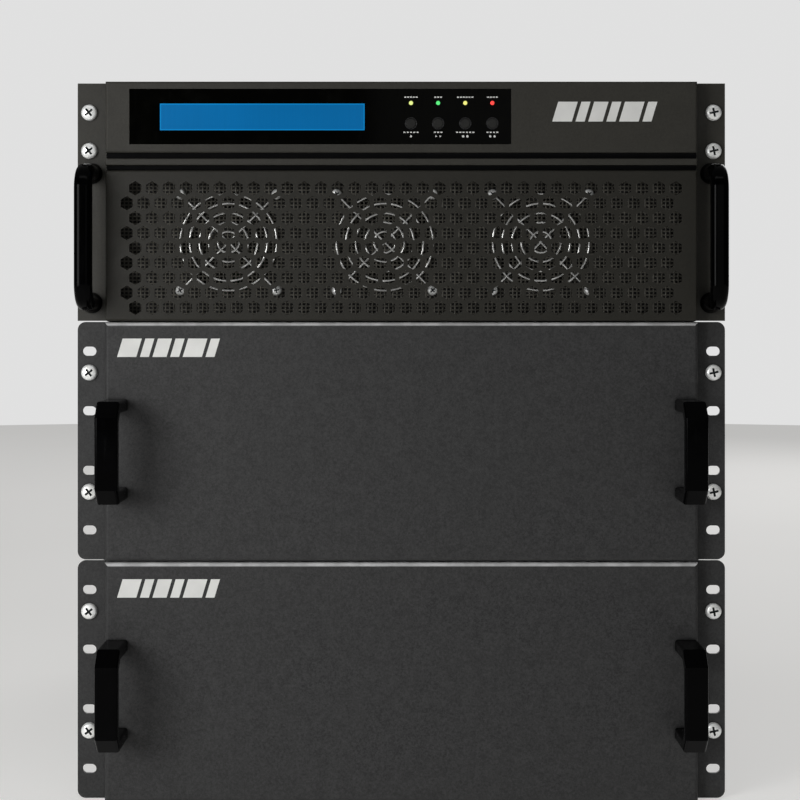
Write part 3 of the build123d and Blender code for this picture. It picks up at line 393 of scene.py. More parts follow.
# Dark foam-textured sheets that stand in for the shade behind the vents.
vent_shade_foam = moulded(
    "vent_shade_foam", (0.012, 0.012, 0.012), 0.9, specular=0.05, grain=0.5 * MM, scale=420,
    variation=0.5,
)
# Black rubber for the head's gaskets, and for the strips that stand in for the shade in the gaps
# between stacked cases.
gasket_rubber_and_gap_shade = moulded("gasket_rubber_and_gap_shade", (0.0025, 0.0025, 0.0028), 0.75, specular=0.05)
label_foil = bright_metal(
    "label_foil", (0.55, 0.56, 0.57), 0.42, tint=(0.50, 0.50, 0.49), metallic=0.5,
)
earth_brass = bright_metal("earth_brass", (0.72, 0.52, 0.22), 0.32, tint=(0.55, 0.38, 0.16))
LAMP_STRENGTH = 1.3
lamp_colors = ((0.62, 0.70, 0.22), (0.08, 0.62, 0.16), (0.62, 0.60, 0.16), (0.90, 0.06, 0.05))
lamp_lenses = [
    lit(f"lamp_lens_{i}", color, LAMP_STRENGTH) for i, color in enumerate(lamp_colors, start=1)
]
border_blue = lit("display_border_blue", (0.0020, 0.20, 0.50), 0.85)
screen_blue = lit("display_blue", (0.0010, 0.128, 0.350), 0.80, cell=(6.2 * MM, 10.1 * MM))


def paint_cad_nodes():
    """Gives every carried-over CAD node the finish of its slot."""
    for part in frame["record"]["subparts"]:
        node = nodes[part["node"]]
        node.data.materials.clear()
        finish = node_finishes.get(part["node"]) or finishes[part["material_slot"]]
        node.data.materials.append(finish)
        for polygon in node.data.polygons:
            polygon.material_index = 0


# ------------------------------------------------------------------ mesh building
def middle(node):
    """The middle of a CAD node's box."""
    low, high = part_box(node)
    return (low + high) / 2


def full_turn(count):
    """Angles of count points spread evenly round a circle."""
    return [2 * math.pi * i / count for i in range(count)]


def upright_circle(x, y, z, radius, count):
    """Points of a circle that faces along Y."""
    return [
        Vector((x + radius * math.cos(turn), y, z + radius * math.sin(turn)))
        for turn in full_turn(count)
    ]


def finish_piece(name, build, materials, body, smooth_angle=None):
    """Turns a bmesh into a piece that rides on a body. materials is one material or a list."""
    mesh = bpy.data.meshes.new(name)
    build.normal_update()
    build.to_mesh(mesh)
    build.free()
    for material in materials if isinstance(materials, list) else [materials]:
        mesh.materials.append(material)
    piece = bpy.data.objects.new(name, mesh)
    bpy.context.scene.collection.objects.link(piece)
    if smooth_angle is not None:
        mesh.shade_smooth()
        mesh.set_sharp_from_angle(angle=math.radians(smooth_angle))
    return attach(piece, body)


def ringed(build, levels, matrix, turns):
    """A closed form made of rings. levels is a list of (radius, height), where radius is a number
    or a function of the angle; turns are the angles of each ring's points."""
    rings = []
    for radius, height in levels:
        ring = []
        for turn in turns:
            reach = radius(turn) if callable(radius) else radius
            point = Vector((reach * math.cos(turn), reach * math.sin(turn), height))
            ring.append(build.verts.new(matrix @ point))
        rings.append(ring)
    return join_rings(build, rings)


def join_rings(build, rings, close_ends=True):
    """Bridges the rings in turn and returns the new faces, with the closed far end last."""
    count = len(rings[0])
    faces = [build.faces.new(reversed(rings[0]))] if close_ends else []
    for low, high in zip(rings, rings[1:]):
        for i in range(count):
            j = (i + 1) % count
            faces.append(build.faces.new((low[i], low[j], high[j], high[i])))
    if close_ends:
        faces.append(build.faces.new(rings[-1]))
    return faces


def turned(build, profile, matrix, segments=32):
    """A lathe-turned form. profile is a list of (radius, height) from its base to its top."""
    ringed(build, profile, matrix, full_turn(segments))


def facing(position, outward, turn=0.0):
    """A matrix at position whose +Z points outward, with +Y as near to up as it can be."""
    outward = outward.normalized()
    up = UP if abs(outward.z) < 0.9 else BACKWARD
    across = up.cross(outward).normalized()
    rise = outward.cross(across)
    matrix = Matrix((across, rise, outward)).transposed().to_4x4()
    matrix.translation = position
    return matrix @ Matrix.Rotation(turn, 4, "Z")


def extruded(build, outline, matrix, depth, chamfer=0.0):
    """A flat form with a chamfered rim. outline is a list of points, depth its rise along +Z."""
    centre = sum((Vector(p) for p in outline), Vector((0, 0))) / len(outline)
    layers = [(0.0, 0.0), (0.0, depth - chamfer)]
    if chamfer:
        layers.append((chamfer, depth))
    rings = []
    for inset, height in layers:
        ring = []
        for point in outline:
            away = Vector(point) - centre
            x, y = Vector(point) - away.normalized() * inset
            ring.append(build.verts.new(matrix @ Vector((x, y, height))))
        rings.append(ring)
    join_rings(build, rings)


def rounded_outline(width, height, radius, steps=5):
    """Points of a rectangle with rounded corners, anticlockwise."""
    points = []
    for corner, (sx, sy) in enumerate(((1, 1), (-1, 1), (-1, -1), (1, -1))):
        for i in range(steps + 1):
            turn = math.pi / 2 * (corner + i / steps)
            points.append((
                sx * (width / 2 - radius) + radius * math.cos(turn),
                sy * (height / 2 - radius) + radius * math.sin(turn),
            ))
    return points


# A cross recess's arm length and half width, over the head's radius
CROSS_ARM, CROSS_HALF = 0.56, 0.13
# Zinc, then the painted shade of the cross recesses.
screw_metals = [finishes["zinc"], recess_shade_and_ink]


def cross_turns():
    """Angles at which a ring meets every corner of a cross recess."""
    corner = math.atan(CROSS_HALF / CROSS_ARM)
    eighth = math.pi / 4
    between = (corner + eighth) / 2
    quarter = (-corner, 0.0, corner, between, eighth, 2 * eighth - between)
    return [2 * eighth * i + turn for i in range(4) for turn in quarter]


def cross_reach(radius):
    """How far a cross recess reaches at an angle, for a head of that radius."""
    def reach(turn):
        small, big = sorted((abs(math.cos(turn)), abs(math.sin(turn))))
        if CROSS_ARM * small / big <= CROSS_HALF * 1.0001:
            return radius * CROSS_ARM / big
        return radius * CROSS_HALF / small
    return reach


def cross_screw(build, matrix, radius, height):
    """A pan head with a sunk cross recess, whose faces take the piece's second material, a dark
    colour that paints the recess's shade.
    """
    recess = cross_reach(radius)
    turns = cross_turns()
    levels = [
        (radius, 0.0), (radius, height * 0.35), (radius * 0.93, height * 0.7),
        (radius * 0.78, height * 0.92), (recess, height),
        (lambda turn: recess(turn) * 0.7, height * 0.3),
    ]
    for face in ringed(build, levels, matrix, turns)[-len(turns) - 1:]:
        face.material_index = 1


def tube(build, points, radius, sides, normal, closed=False, flat=1.0):
    """A wire along points that lie near a plane with that normal. flat is the thickness of its
    section over the width."""
    rings = []
    count = len(points)
    for i, point in enumerate(points):
        after = points[(i + 1) % count] if closed or i + 1 < count else point
        before = points[i - 1] if closed or i else point
        side = (after - before).normalized().cross(normal).normalized()
        rings.append([
            build.verts.new(
                point + (side * math.cos(turn) + normal * (flat * math.sin(turn))) * radius
            )
            for turn in full_turn(sides)
        ])
    if closed:
        rings.append(rings[0])
    join_rings(build, rings, close_ends=not closed)


# ------------------------------------------------------------------ front of the power module
def woven_screen():
    """The intake's fine screen: upright and level fibres that pass over and under one another."""
    low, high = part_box("intake_screen")
    depth = (low.y + high.y) / 2
    wave, fibre, flatness = 0.20 * MM, 0.58 * MM, 0.48
    columns, rows = 140, 38
    step_x, step_z = (high.x - low.x) / columns, (high.z - low.z) / rows
    build = bmesh.new()
    for row in range(rows + 1):
        z = low.z + row * step_z
        points = [
            Vector((low.x + i * step_x, depth + wave * (-1) ** (i + row), z))
            for i in range(columns + 1)
        ]
        tube(build, points, fibre, 6, BACKWARD, flat=flatness)
    for column in range(columns + 1):
        x = low.x + column * step_x
        points = [
            Vector((x, depth - wave * (-1) ** (column + i), low.z + i * step_z))
            for i in range(rows + 1)
        ]
        tube(build, points, fibre, 6, BACKWARD, flat=flatness)
    mesh_fibre = finishes["screen_mesh"]
    piece = finish_piece("woven_screen", build, mesh_fibre, "ups_module", 60)
    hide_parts("intake_screen")


GUARD_RINGS = (7.9, 14.6, 21.6, 28.8, 35.9)


def fan_guard_wires(place):
    """A chromed wire guard: five rings welded to two crossed spokes with eyes for the screws."""
    node = f"fan_guard_{place}"
    low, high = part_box(node)
    centre = middle(node)
    cad_wire, wire, sides = 0.9 * MM, 0.75 * MM, 10
    spoke_y, ring_y = high.y - cad_wire, low.y + cad_wire
    build = bmesh.new()
    for radius in GUARD_RINGS:
        ring = upright_circle(centre.x, ring_y, centre.z, radius * MM, 96)
        tube(build, ring, wire, sides, BACKWARD, closed=True)
    eye_radius = 3.2 * MM
    corner = (high.x - low.x) / 2 - eye_radius - cad_wire
    for i in (-1, 1):
        for j in (-1, 1):
            eye = upright_circle(
                centre.x + i * corner, spoke_y, centre.z + j * corner, eye_radius, 32
            )
            tube(build, eye, wire, sides, BACKWARD, closed=True)
    reach = corner - eye_radius / math.sqrt(2)
    for slope in (-1, 1):
        ends = [
            Vector((centre.x + i * reach, spoke_y, centre.z + i * slope * reach)) for i in (-1, 1)
        ]
        tube(build, ends, wire, sides, BACKWARD)
    chrome = finishes["guard_chrome"]
    piece = finish_piece(f"guard_wires_{place}", build, chrome, "ups_module", 50)
    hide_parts(node)


def head_gaskets():
    """The black rubber strips that lie in the head's two grooves."""
    low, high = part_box("display_bezel")
    width, seat = high.x - low.x - 0.6 * MM, low.y + 5.9 * MM
    build = bmesh.new()
    for bottom, top in ((8.5, 12.3), (0.2, 3.2)):
        centre = Vector((0, seat, low.z + (bottom + top) / 2 * MM))
        outline = rounded_outline(width, (top - bottom) * MM, 1.1 * MM)
        extruded(build, outline, facing(centre, -BACKWARD), 3.4 * MM, 0.5 * MM)
    finish_piece("head_gaskets", build, gasket_rubber_and_gap_shade, "ups_module", 50)


def button_centres():
    return [middle(f"button_{i}") for i in range(1, 5)]


def status_lamps():
    """Four lamp lenses, each in its own colour, standing in the holes of the display lens."""
    low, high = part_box("status_leds")
    z = (low.z + high.z) / 2
    radius = (high.z - low.z) / 2
    dome = [
        (radius * math.cos(turn), radius + radius * math.sin(turn))
        for turn in (0, 0.4, 0.8, 1.2, 1.5)
    ]
    for i, (centre, glass) in enumerate(zip(button_centres(), lamp_lenses), start=1):
        base = Vector((centre.x, low.y + radius * 2, z))
        build = bmesh.new()
        turned(build, [(radius, 0.0)] + dome, facing(base, -BACKWARD), 24)
        lens = finish_piece(f"status_lamp_{i}", build, glass, "ups_module", 60)
        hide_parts("status_leds")


def display_screen():
    """The lit glass of the display, a hair proud of the module's own face."""
    low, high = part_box("lcd_module")
    margin, glass, line = 6 * MM, 0.25 * MM, 0.8 * MM
    width, height = high.x - low.x - 2 * margin, high.z - low.z - 2 * margin
    centre = Vector(((low.x + high.x) / 2, low.y, (low.z + high.z) / 2))
    build = bmesh.new()
    outline = rounded_outline(width, height, 0.6 * MM)
    extruded(build, outline, facing(centre, -BACKWARD), glass, 0.1 * MM)
    finish_piece("display_glass", build, screen_blue, "ups_module")
    border = bmesh.new()
    over, beside = (height - line) / 2, (width - line) / 2
    for x, z, across, tall in (
        (0, over, width, line), (0, -over, width, line),
        (-beside, 0, line, height - 2 * line), (beside, 0, line, height - 2 * line),
    ):
        ink_bar(border, centre.x + x, centre.z + z, across, tall, low.y - glass)
    finish_piece("display_border", border, border_blue, "ups_module")


def ink_bar(build, x, z, width, height, face, lean=0.0):
    """A printed bar, a few hundredths of a millimetre thick, on a front face at y = face."""
    outline = [
        (-width / 2 - lean, -height / 2), (width / 2 - lean, -height / 2),
        (width / 2 + lean, height / 2), (-width / 2 + lean, height / 2),
    ]
    extruded(build, outline, facing(Vector((x, face, z)), -BACKWARD), PRINT_THICKNESS)


def printed_legends():
    """Plain dashes above the lamps, and dashes and small shapes under the keys."""
    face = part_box("display_window")[0].y
    low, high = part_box("status_leds")
    lamp_z = (low.z + high.z) / 2
    build = bmesh.new()
    dash, gap, thick = 1.5 * MM, 0.6 * MM, 0.9 * MM
    pitch = dash + gap
    for count, centre in zip((5, 3, 6, 4), button_centres()):
        for row_z, share in ((lamp_z + 4.2 * MM, 1.0), (centre.z - 6.6 * MM, 1.15)):
            for k in range(count):
                x = centre.x + (k - (count - 1) / 2) * pitch * share
                ink_bar(build, x, row_z, dash, thick, face)
    size, apart = 0.95 * MM, 1.6 * MM
    symbols = ((4, (0.0,)), (3, (-apart, apart)), (6, (-apart, apart)), (5, (-apart, apart)))
    for (sides, spots), centre in zip(symbols, button_centres()):
        outline = [(size * math.cos(turn), size * math.sin(turn)) for turn in full_turn(sides)]
        for spot in spots:
            place = facing(Vector((centre.x + spot, face, centre.z - 9.6 * MM)), -BACKWARD)
            extruded(build, outline, place, PRINT_THICKNESS)
    finish_piece("printed_legends", build, print_ink, "ups_module")


def generic_mark(name, body, face, left, base, width, height):
    """A plain mark with no lettering: a row of slanted bars of several widths."""
    shares = (3.0, 1.4, 2.2, 1.4, 3.0, 1.4)
    gap = width * 0.035
    unit = (width - gap * (len(shares) - 1) - height * 0.3) / sum(shares)
    x = left + height * 0.15
    build = bmesh.new()
    for share in shares:
        bar = unit * share
        ink_bar(build, x + bar / 2, base + height / 2, bar, height, face, lean=height * 0.15)
        x += bar + gap
    finish_piece(name, build, mark_ink, body)


def maker_marks():
    """The mark on the head's right side and one at the left of each battery module's panel."""
    low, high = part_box("display_bezel")
    generic_mark(
        "power_module_mark", "ups_module", low.y,
        left=high.x - 107 * MM, base=high.z - 29.6 * MM, width=77.5 * MM, height=14.6 * MM,
    )
    for module in BATTERY_MODULES:
        low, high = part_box(f"{module}_front_panel")
        generic_mark(
            f"{module}_module_mark", MODULE_BODIES[module], low.y,
            left=low.x + 9.5 * MM, base=high.z - 25.6 * MM, width=76 * MM, height=13.6 * MM,
        )


def key_bezels():
    """A thin raised collar round each key's hole in the lens."""
    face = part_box("display_window")[0].y
    black = finishes["outlet_plastic"]
    for i, centre in enumerate(button_centres(), start=1):
        build = bmesh.new()
        path = upright_circle(centre.x, face, centre.z, 4.15 * MM, 40)
        tube(build, path, 0.28 * MM, 8, BACKWARD, closed=True)
        finish_piece(f"key_collar_{i}", build, black, "ups_module", 60)


# ------------------------------------------------------------------ cases
COVER_SCREW = 3.0 * MM, 1.5 * MM
EAR_SCREW = 3.6 * MM, 1.8 * MM


def case_screws():
    """Pan heads that hold each cover at its sides and rear, and the ears' side legs."""
    for module, body in MODULE_BODIES.items():
        low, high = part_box(f"{module}_case")
        build = bmesh.new()
        cover_z, leg_y = high.z - 7 * MM, low.y + 30 * MM
        for side, x in ((-1, low.x), (1, high.x)):
            outward = Vector((side, 0, 0))
            for y in (low.y + 90 * MM, low.y + 235 * MM, low.y + 380 * MM, high.y - 30 * MM):
                cross_screw(build, facing(Vector((x, y, cover_z)), outward), *COVER_SCREW)
            ear_x = x + side * EAR_THICKNESS
            for rise in (22, 66, 110, 154):
                seat = Vector((ear_x, leg_y, low.z + rise * MM))
                cross_screw(build, facing(seat, outward), *EAR_SCREW)
        for x in (low.x + 12 * MM, 0.0, high.x - 12 * MM):
            cross_screw(build, facing(Vector((x, high.y, cover_z)), BACKWARD), *COVER_SCREW)
        finish_piece(f"{module}_case_screws", build, screw_metals, body, 45)


def rack_screws(module):
    """The bright pan heads in the ears, with their shanks, in place of the plain CAD screws."""
    node = f"{module}_rack_screws"
    low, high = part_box(node)
    head_radius, head_height = 6.0 * MM, 3.6 * MM
    shank, tip = 3.3 * MM, 2.3 * MM
    thread_start, half_pitch = 2.7 * MM, 0.5 * MM
    build = bmesh.new()
    for x in (low.x + head_radius, high.x - head_radius):
        twist = math.radians(38 if x < 0 else 12)
        for z in (low.z + head_radius, high.z - head_radius):
            base = Vector((x, low.y + head_height, z))
            cross_screw(build, facing(base, -BACKWARD, twist), head_radius, head_height)
            length = high.y - base.y
            turns = int((length - thread_start - 0.8 * MM) / half_pitch)
            levels = [(shank, 0.0), (shank, 2.6 * MM)]
            levels += [
                ((3.0 if k % 2 else 2.65) * MM, thread_start + k * half_pitch)
                for k in range(turns)
            ]
            levels.append((tip, length))
            turned(build, levels, facing(base, BACKWARD), 20)
    body = MODULE_BODIES[module]
    piece = finish_piece(f"{module}_rack_bolts", build, screw_metals, body, 40)
    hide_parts(node)


def handle_screws():
    """The pan heads behind the power module's ears that hold its bow handles."""
    build = bmesh.new()
    foot = 7.8 * MM
    for side in ("left", "right"):
        low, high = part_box(f"ups_handle_{side}")
        for z in (low.z + foot, high.z - foot):
            seat = Vector(((low.x + high.x) / 2, EAR_FACE + EAR_THICKNESS, z))
            twist = 0.6 + 20 * z
            cross_screw(build, facing(seat, BACKWARD, twist), 3.3 * MM, 1.9 * MM)
    finish_piece("handle_screws", build, screw_metals, "ups_module", 45)


def top_screws():
    """The two rows of screws in the top cover."""
    low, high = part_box("ups_cover")
    build = bmesh.new()
    for x in (low.x + 14 * MM, high.x - 14 * MM):
        for y in (low.y + 60 * MM, low.y + 205 * MM, low.y + 350 * MM, high.y - 60 * MM):
            cross_screw(build, facing(Vector((x, y, high.z)), UP), 3.0 * MM, 1.4 * MM)
    finish_piece("top_cover_screws", build, screw_metals, "ups_module", 45)


def fan_bolts():
    """The bright screws in the guards' eyes, which reach through the wall into the fan frames."""
    low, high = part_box("fan_screws")
    head_radius, head_height = 3.6 * MM, 2.4 * MM
    hole, half_pitch = 35.75 * MM, 0.5
    build = bmesh.new()
    for count, place in enumerate(FAN_PLACES):
        centre = middle(f"fan_guard_{place}")
        for k in range(4):
            x = centre.x + hole * (1 if k % 2 else -1)
            z = centre.z + hole * (1 if k > 1 else -1)
            base = Vector((x, low.y + head_height, z))
            twist = 0.5 + 1.3 * (4 * count + k)
            cross_screw(build, facing(base, -BACKWARD, twist), head_radius, head_height)
            length = high.y - base.y
            ridges = int((length / MM - 2) / half_pitch)
            levels = [(2.0 * MM, 0.0)]
            levels += [
                ((2.0 if i % 2 else 1.75) * MM, (1.2 + i * half_pitch) * MM) for i in range(ridges)
            ]
            levels.append((1.5 * MM, length))
            turned(build, levels, facing(base, BACKWARD), 14)
    piece = finish_piece("fan_bolts", build, screw_metals, "ups_module", 40)
    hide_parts("fan_screws")


def gap_shade_strips():
    """Thin black strips under the front of each case that stands on another, filling the gap to the
    case below: a dark sheet that stands in for the shade in that gap.
    """
    for module in ("upper", "ups"):
        body = MODULE_BODIES[module]
        low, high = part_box(f"{module}_case")
        build = bmesh.new()
        outline = rounded_outline(high.x - low.x - 2 * MM, 0.6 * MM, 0.2 * MM, 3)
        seat = Vector((0, low.y + 14 * MM, low.z - 0.35 * MM))
        extruded(build, outline, facing(seat, -BACKWARD), 11 * MM)
        finish_piece(f"{module}_gap_shade_strip", build, gasket_rubber_and_gap_shade, body, 40)


# ------------------------------------------------------------------ rear
# The dark foam sheets, which stand in for the shade inside the case, lie this far inside a case's
# outer face; their thickness and their edge's chamfer
FOAM_INSET, FOAM_SHEET = 2.5 * MM, (3 * MM, 0.8 * MM)
# Rear foam sheets: left, right, bottom and top, in mm from the middle and from the case's bottom
REAR_FOAM = ((-195, 75, 94, 157), (-195, -80, 82.5, 94), (-20, 75, 82.5, 94))
# Data plates: x from the middle, height above the case's bottom, width and height, in mm
DATA_PLATES = {"lower": (30, 158, 84, 14), "upper": (30, 158, 84, 14), "ups": (152, 160, 84, 14)}
# Earth studs: x from the middle and height above the case's bottom
EARTH_STUDS = {"lower": (-0.205, 0.030), "upper": (-0.205, 0.030), "ups": (-0.2085, 0.104)}
PANEL_FACE = REAR_FACE + 1.5 * MM


def rear_vent_shade_sheet():
    """Dark open foam behind the power module's rear slots, laid clear of the breaker's body: a dark
    sheet that stands in for the shade inside the case.
    """
    low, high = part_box("ups_case")
    build = bmesh.new()
    for x0, x1, z0, z1 in REAR_FOAM:
        centre = Vector(((x0 + x1) / 2 * MM, high.y - FOAM_INSET, low.z + (z0 + z1) / 2 * MM))
        outline = rounded_outline((x1 - x0) * MM, (z1 - z0) * MM, 2 * MM)
        extruded(build, outline, facing(centre, -BACKWARD), *FOAM_SHEET)
    finish_piece("rear_vent_shade_sheet", build, vent_shade_foam, "ups_module", 40)


def side_vent_shade_sheets():
    """The same dark foam, standing in for the shade inside the case, behind the slots of the power
    module's side walls.
    """
    low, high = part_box("ups_case")
    outline = rounded_outline(176 * MM, 86 * MM, 2 * MM)
    slots_y, slots_z = 150 * MM, low.z + 98 * MM
    build = bmesh.new()
    for inward, x in ((1, low.x + FOAM_INSET), (-1, high.x - FOAM_INSET)):
        seat = facing(Vector((x, slots_y, slots_z)), Vector((inward, 0, 0)))
        extruded(build, outline, seat, *FOAM_SHEET)
    finish_piece("side_vent_shade_sheets", build, vent_shade_foam, "ups_module", 40)


def rear_bar(build, x, z, width, height, face):
    """A printed bar on a rear face at y = face."""
    outline = rounded_outline(width, height, min(width, height) * 0.3, 3)
    extruded(build, outline, facing(Vector((x, face, z)), BACKWARD), PRINT_THICKNESS)


def rear_plates():
    """Blank data plates, one on each module's rear wall, with plain printed dashes."""
    thickness = 0.3 * MM
    for module, body in MODULE_BODIES.items():
        low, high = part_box(f"{module}_case")
        x, z, width, height = (value * MM for value in DATA_PLATES[module])
        z += low.z
        plate = bmesh.new()
        seat = facing(Vector((x, high.y, z)), BACKWARD)
        extruded(plate, rounded_outline(width, height, 1.5 * MM), seat, thickness, 0.1 * MM)
        finish_piece(f"{module}_data_plate", plate, label_foil, body, 40)
        ink = bmesh.new()
        for row in range(3):
            bar_z = z + (row - 1) * height * 0.28
            for k in range(6):
                bar_x = x + (k - 2.5) * 12.5 * MM
                length = (9 - (k * 5 + row * 3) % 4) * MM
                rear_bar(ink, bar_x, bar_z, length, 1.1 * MM, high.y + thickness)
        finish_piece(f"{module}_plate_dashes", ink, recess_shade_and_ink, body)


def earth_studs():
    """A brass earth stud with a washer and a hexagonal nut on each module's rear wall."""
    washer = [(6.2 * MM, 0), (6.2 * MM, 0.8 * MM), (5.8 * MM, 1.0 * MM)]
    nut = [(5.0 * MM, 1.0 * MM), (5.2 * MM, 1.3 * MM), (5.2 * MM, 4.2 * MM), (4.7 * MM, 4.6 * MM)]
    thread = [((2.9 if k % 2 else 2.6) * MM, (0.2 + 0.45 * k) * MM) for k in range(21)]
    thread.append((2.2 * MM, 10.2 * MM))
    for module, body in MODULE_BODIES.items():
        low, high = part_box(f"{module}_case")
        x, rise = EARTH_STUDS[module]
        seat = facing(Vector((x, high.y, low.z + rise)), BACKWARD)
        build = bmesh.new()
        turned(build, washer, seat, 32)
        ringed(build, nut, seat, full_turn(6))
        turned(build, thread, seat, 24)
        finish_piece(f"{module}_earth_stud", build, earth_brass, body, 40)


def rear_screws():
    """Small screws of the rear fittings' flanges and of the terminal hood's tabs."""
    low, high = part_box("terminal_cover")
    hood_z, tab_seat = (low.z + high.z) / 2, 1.2
    spots = [(-0.0872, hood_z, tab_seat, 3.0), (-0.2179, hood_z, tab_seat, 1.7)]
    plate_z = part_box("interface_panel")[0].z
    plate_columns, plate_rows, plate_seat = (0.0995, 0.2045), (0.0035, 0.0265), 1.5
    spots += [(x, plate_z + z, plate_seat, 1.9) for x in plate_columns for z in plate_rows]
    spots += flange_screws("ups_battery_socket", 1)
    low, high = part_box("output_sockets")
    half_height, screw_reach, outlet_seat = 0.0145, 0.0152, 2.0
    for x in outlet_columns():
        for z in (low.z + half_height, high.z - half_height):
            spots += [(x + side * screw_reach, z, outlet_seat, 1.5) for side in (-1, 1)]
    screw_row("ups_rear_screws", "ups_module", spots)
    for module in BATTERY_MODULES:
        spots = flange_screws(f"{module}_battery_sockets", 2)
        screw_row(f"{module}_rear_screws", MODULE_BODIES[module], spots)


def outlet_columns():
    """Where the two columns of mains outlets have their middles, in x."""
    low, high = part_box("output_sockets")
    half_width = 0.018
    return low.x + half_width, high.x - half_width


def flange_screws(node, count):
    """Corner screws of one or two battery sockets' flanges, as screw_row takes them."""
    low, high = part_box(node)
    half_width, across, rise, seat, radius = 0.033, 0.0302, 0.0125, 2.0, 1.7
    z = (low.z + high.z) / 2
    return [
        (x + i * across, z + j * rise, seat, radius)
        for x in (low.x + half_width, high.x - half_width)[:count]
        for i in (-1, 1)
        for j in (-1, 1)
    ]


def screw_row(name, body, spots):
    """One piece of small rear screws. spots are (x, z, seat, radius); seat, which is measured out
    from the rear wall, and radius are in mm."""
    build = bmesh.new()
    for count, (x, z, seat, radius) in enumerate(spots):
        place = facing(Vector((x, REAR_FACE + seat * MM, z)), BACKWARD, 0.4 + 0.9 * count)
        cross_screw(build, place, radius * MM, radius * 0.5 * MM)
    finish_piece(name, build, screw_metals, body, 45)


def breaker_marks():
    """A bar above each breaker's lever and a ring below it: on and off."""
    reach = 17 * MM
    for module, body in MODULE_BODIES.items():
        low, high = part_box(f"{module}_breaker")
        x, z = (low.x + high.x) / 2, (low.z + high.z) / 2
        build = bmesh.new()
        rear_bar(build, x, z + reach, 1.2 * MM, 5.2 * MM, high.y)
        ring = upright_circle(x, high.y, z - reach, 2.5 * MM, 36)
        tube(build, ring, 0.5 * MM, 6, BACKWARD, closed=True, flat=0.12)
        for k in (-1, 0, 1):
            rear_bar(build, x + k * 14 * MM, z - 20.6 * MM, 6 * MM, 0.7 * MM, high.y)
        finish_piece(f"{module}_breaker_marks", build, recess_shade_and_ink, body, 60)


def port_legends():
    """Plain dashes beside the ports and outlets."""
    build = bmesh.new()
    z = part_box("interface_panel")[0].z + 27.2 * MM
    for port_x, count in ((0.118, 5), (0.146, 3), (0.168, 4), (0.192, 3)):
        for k in range(count):
            x = port_x + (k - (count - 1) / 2) * 2.6 * MM
            rear_bar(build, x, z, 1.9 * MM, 1.0 * MM, PANEL_FACE)
    finish_piece("port_legends", build, recess_shade_and_ink, "ups_module")
    labels = bmesh.new()
    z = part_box("output_sockets")[1].z + 4 * MM
    for column_x in outlet_columns():
        for k in range(4):
            x = column_x + (k - 1.5) * 3.4 * MM
            rear_bar(labels, x, z, 2.5 * MM, 1.2 * MM, REAR_FACE)
    finish_piece("outlet_legends", labels, print_ink, "ups_module")


def card_knobs():
    """Knurled sleeves on the card slot's two thumbscrews."""
    low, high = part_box("interface_panel")
    steps = 48

    def knurl(turn):
        return (4.9 - 0.3 * (round(turn * steps / (2 * math.pi)) % 2)) * MM

    levels = [
        (4.5 * MM, 0.4 * MM), (knurl, 0.8 * MM), (knurl, 5.8 * MM), (4.4 * MM, 6.2 * MM),
        (2.6 * MM, 6.3 * MM),
    ]
    build = bmesh.new()
    for x in (low.x + 9 * MM, high.x - 9 * MM):
        seat = facing(Vector((x, PANEL_FACE, high.z - 23 * MM)), BACKWARD)
        ringed(build, levels, seat, full_turn(steps))
    finish_piece("card_knobs", build, finishes["zinc"], "ups_module", 40)


# ------------------------------------------------------------------ stage
KEY_W, FILL_W, TOP_W, BACK_W, CEILING_W = 2.7, 1.0, 1.8, 16, 30
AMBIENT, BACKDROP = 0.05, 0.85
FLOOR_RADIUS = 4.2


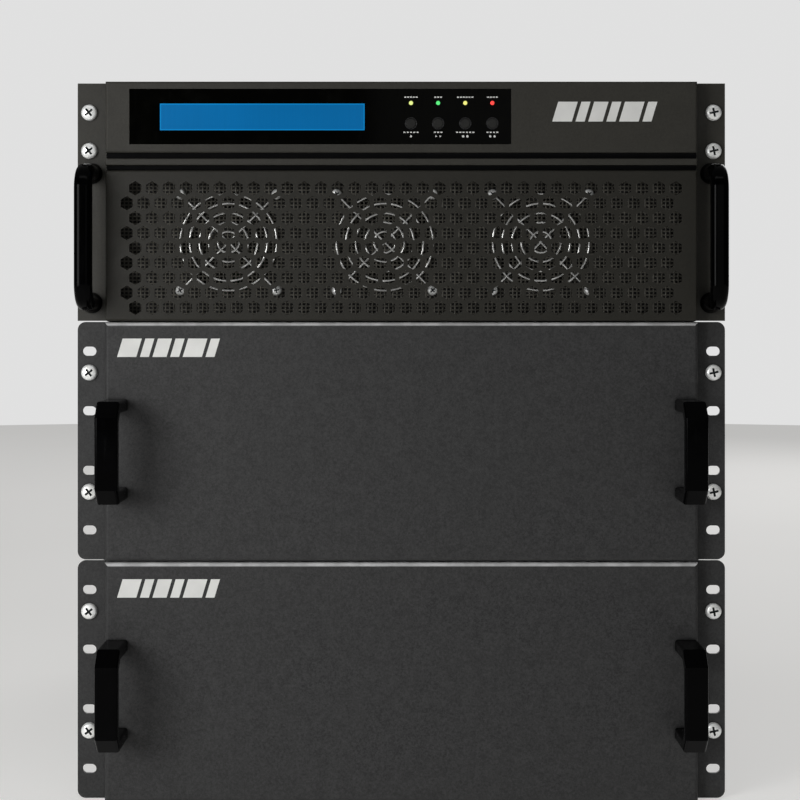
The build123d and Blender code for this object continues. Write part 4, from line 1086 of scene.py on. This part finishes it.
def stage():
    """The floor, five area lights and a backdrop that only the camera sees as bright."""
    low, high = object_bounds()
    centre = (Vector(low) + Vector(high)) / 2
    floor = bpy.data.meshes.new("studio_floor")
    build = bmesh.new()
    bmesh.ops.create_circle(build, cap_ends=True, radius=FLOOR_RADIUS, segments=128)
    build.to_mesh(floor)
    build.free()
    floor.materials.append(studio_floor("studio_floor"))
    ground = bpy.data.objects.new("studio_floor", floor)
    ground.location = (centre.x, centre.y, Vector(low).z)
    bpy.context.scene.collection.objects.link(ground)
    ground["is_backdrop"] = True

    def softbox(name, place, aim, size, power):
        light = bpy.data.lights.new(name, "AREA")
        light.shape = "RECTANGLE"
        light.size, light.size_y = size
        light.energy = power
        lamp = bpy.data.objects.new(name, light)
        lamp.location = place
        lamp.rotation_euler = (Vector(aim) - Vector(place)).to_track_quat("-Z", "Y").to_euler()
        lamp.visible_camera = False
        bpy.context.scene.collection.objects.link(lamp)
        return light

    front = low[1]
    key = softbox("key_light", (-0.85, front - 0.95, 0.52), (-0.18, front, 0.27), (0.7, 0.7), KEY_W)
    key.spread = math.radians(80)
    softbox("fill_light", (0.35, front - 1.5, 0.60), centre, (0.8, 0.8), FILL_W)
    softbox("strip_light", (-0.1, front - 0.85, 1.70), (0, front, 0.35), (1.3, 0.22), TOP_W)
    softbox("back_light", (1.2, 2.4, 1.7), centre, (1.6, 1.6), BACK_W)
    softbox("ceiling_light", (0, 0.4, 3.6), (0, 0.4, 0), (7.0, 7.0), CEILING_W)

    world = bpy.data.worlds.new("studio")
    bpy.context.scene.world = world
    world.use_nodes = True
    tree = world.node_tree
    backdrop = tree.nodes["Background"]
    backdrop.inputs["Color"].default_value = (0.88, 0.88, 0.88, 1)
    backdrop.inputs["Strength"].default_value = BACKDROP
    ambient = tree.nodes.new("ShaderNodeBackground")
    ambient.inputs["Color"].default_value = (0.95, 0.98, 1.0, 1)
    ambient.inputs["Strength"].default_value = AMBIENT
    seen = tree.nodes.new("ShaderNodeLightPath")
    mix = tree.nodes.new("ShaderNodeMixShader")
    tree.links.new(seen.outputs["Is Camera Ray"], mix.inputs["Fac"])
    tree.links.new(ambient.outputs["Background"], mix.inputs[1])
    tree.links.new(backdrop.outputs["Background"], mix.inputs[2])
    tree.links.new(mix.outputs["Shader"], tree.nodes["World Output"].inputs["Surface"])


def camera():
    """Level, with its frame shifted down, so that the uprights stay parallel."""
    distance, sensor = 1.30, 36.0
    frame_width, frame_x, frame_z = 0.5965, -0.0010, 0.297
    rise = 0.066
    data = bpy.data.cameras.new("photo_camera")
    data.sensor_width = sensor
    data.lens = sensor * distance / frame_width
    data.shift_y = -rise / frame_width
    data.dof.use_dof = False
    eye = bpy.data.objects.new("photo_camera", data)
    eye.location = (frame_x, EAR_FACE - distance, frame_z + rise)
    eye.rotation_euler = (math.radians(90), 0, 0)
    bpy.context.scene.collection.objects.link(eye)
    bpy.context.scene.camera = eye
    bpy.context.scene.view_settings.view_transform = "Standard"


camera()
paint_cad_nodes()
woven_screen()
for place in FAN_PLACES:
    fan_guard_wires(place)
status_lamps()
display_screen()
key_bezels()
printed_legends()
maker_marks()
for module in MODULE_BODIES:
    rack_screws(module)
head_gaskets()
fan_bolts()
handle_screws()
case_screws()
top_screws()
gap_shade_strips()
rear_vent_shade_sheet()
side_vent_shade_sheets()
rear_plates()
earth_studs()
rear_screws()
breaker_marks()
port_legends()
card_knobs()
stage()
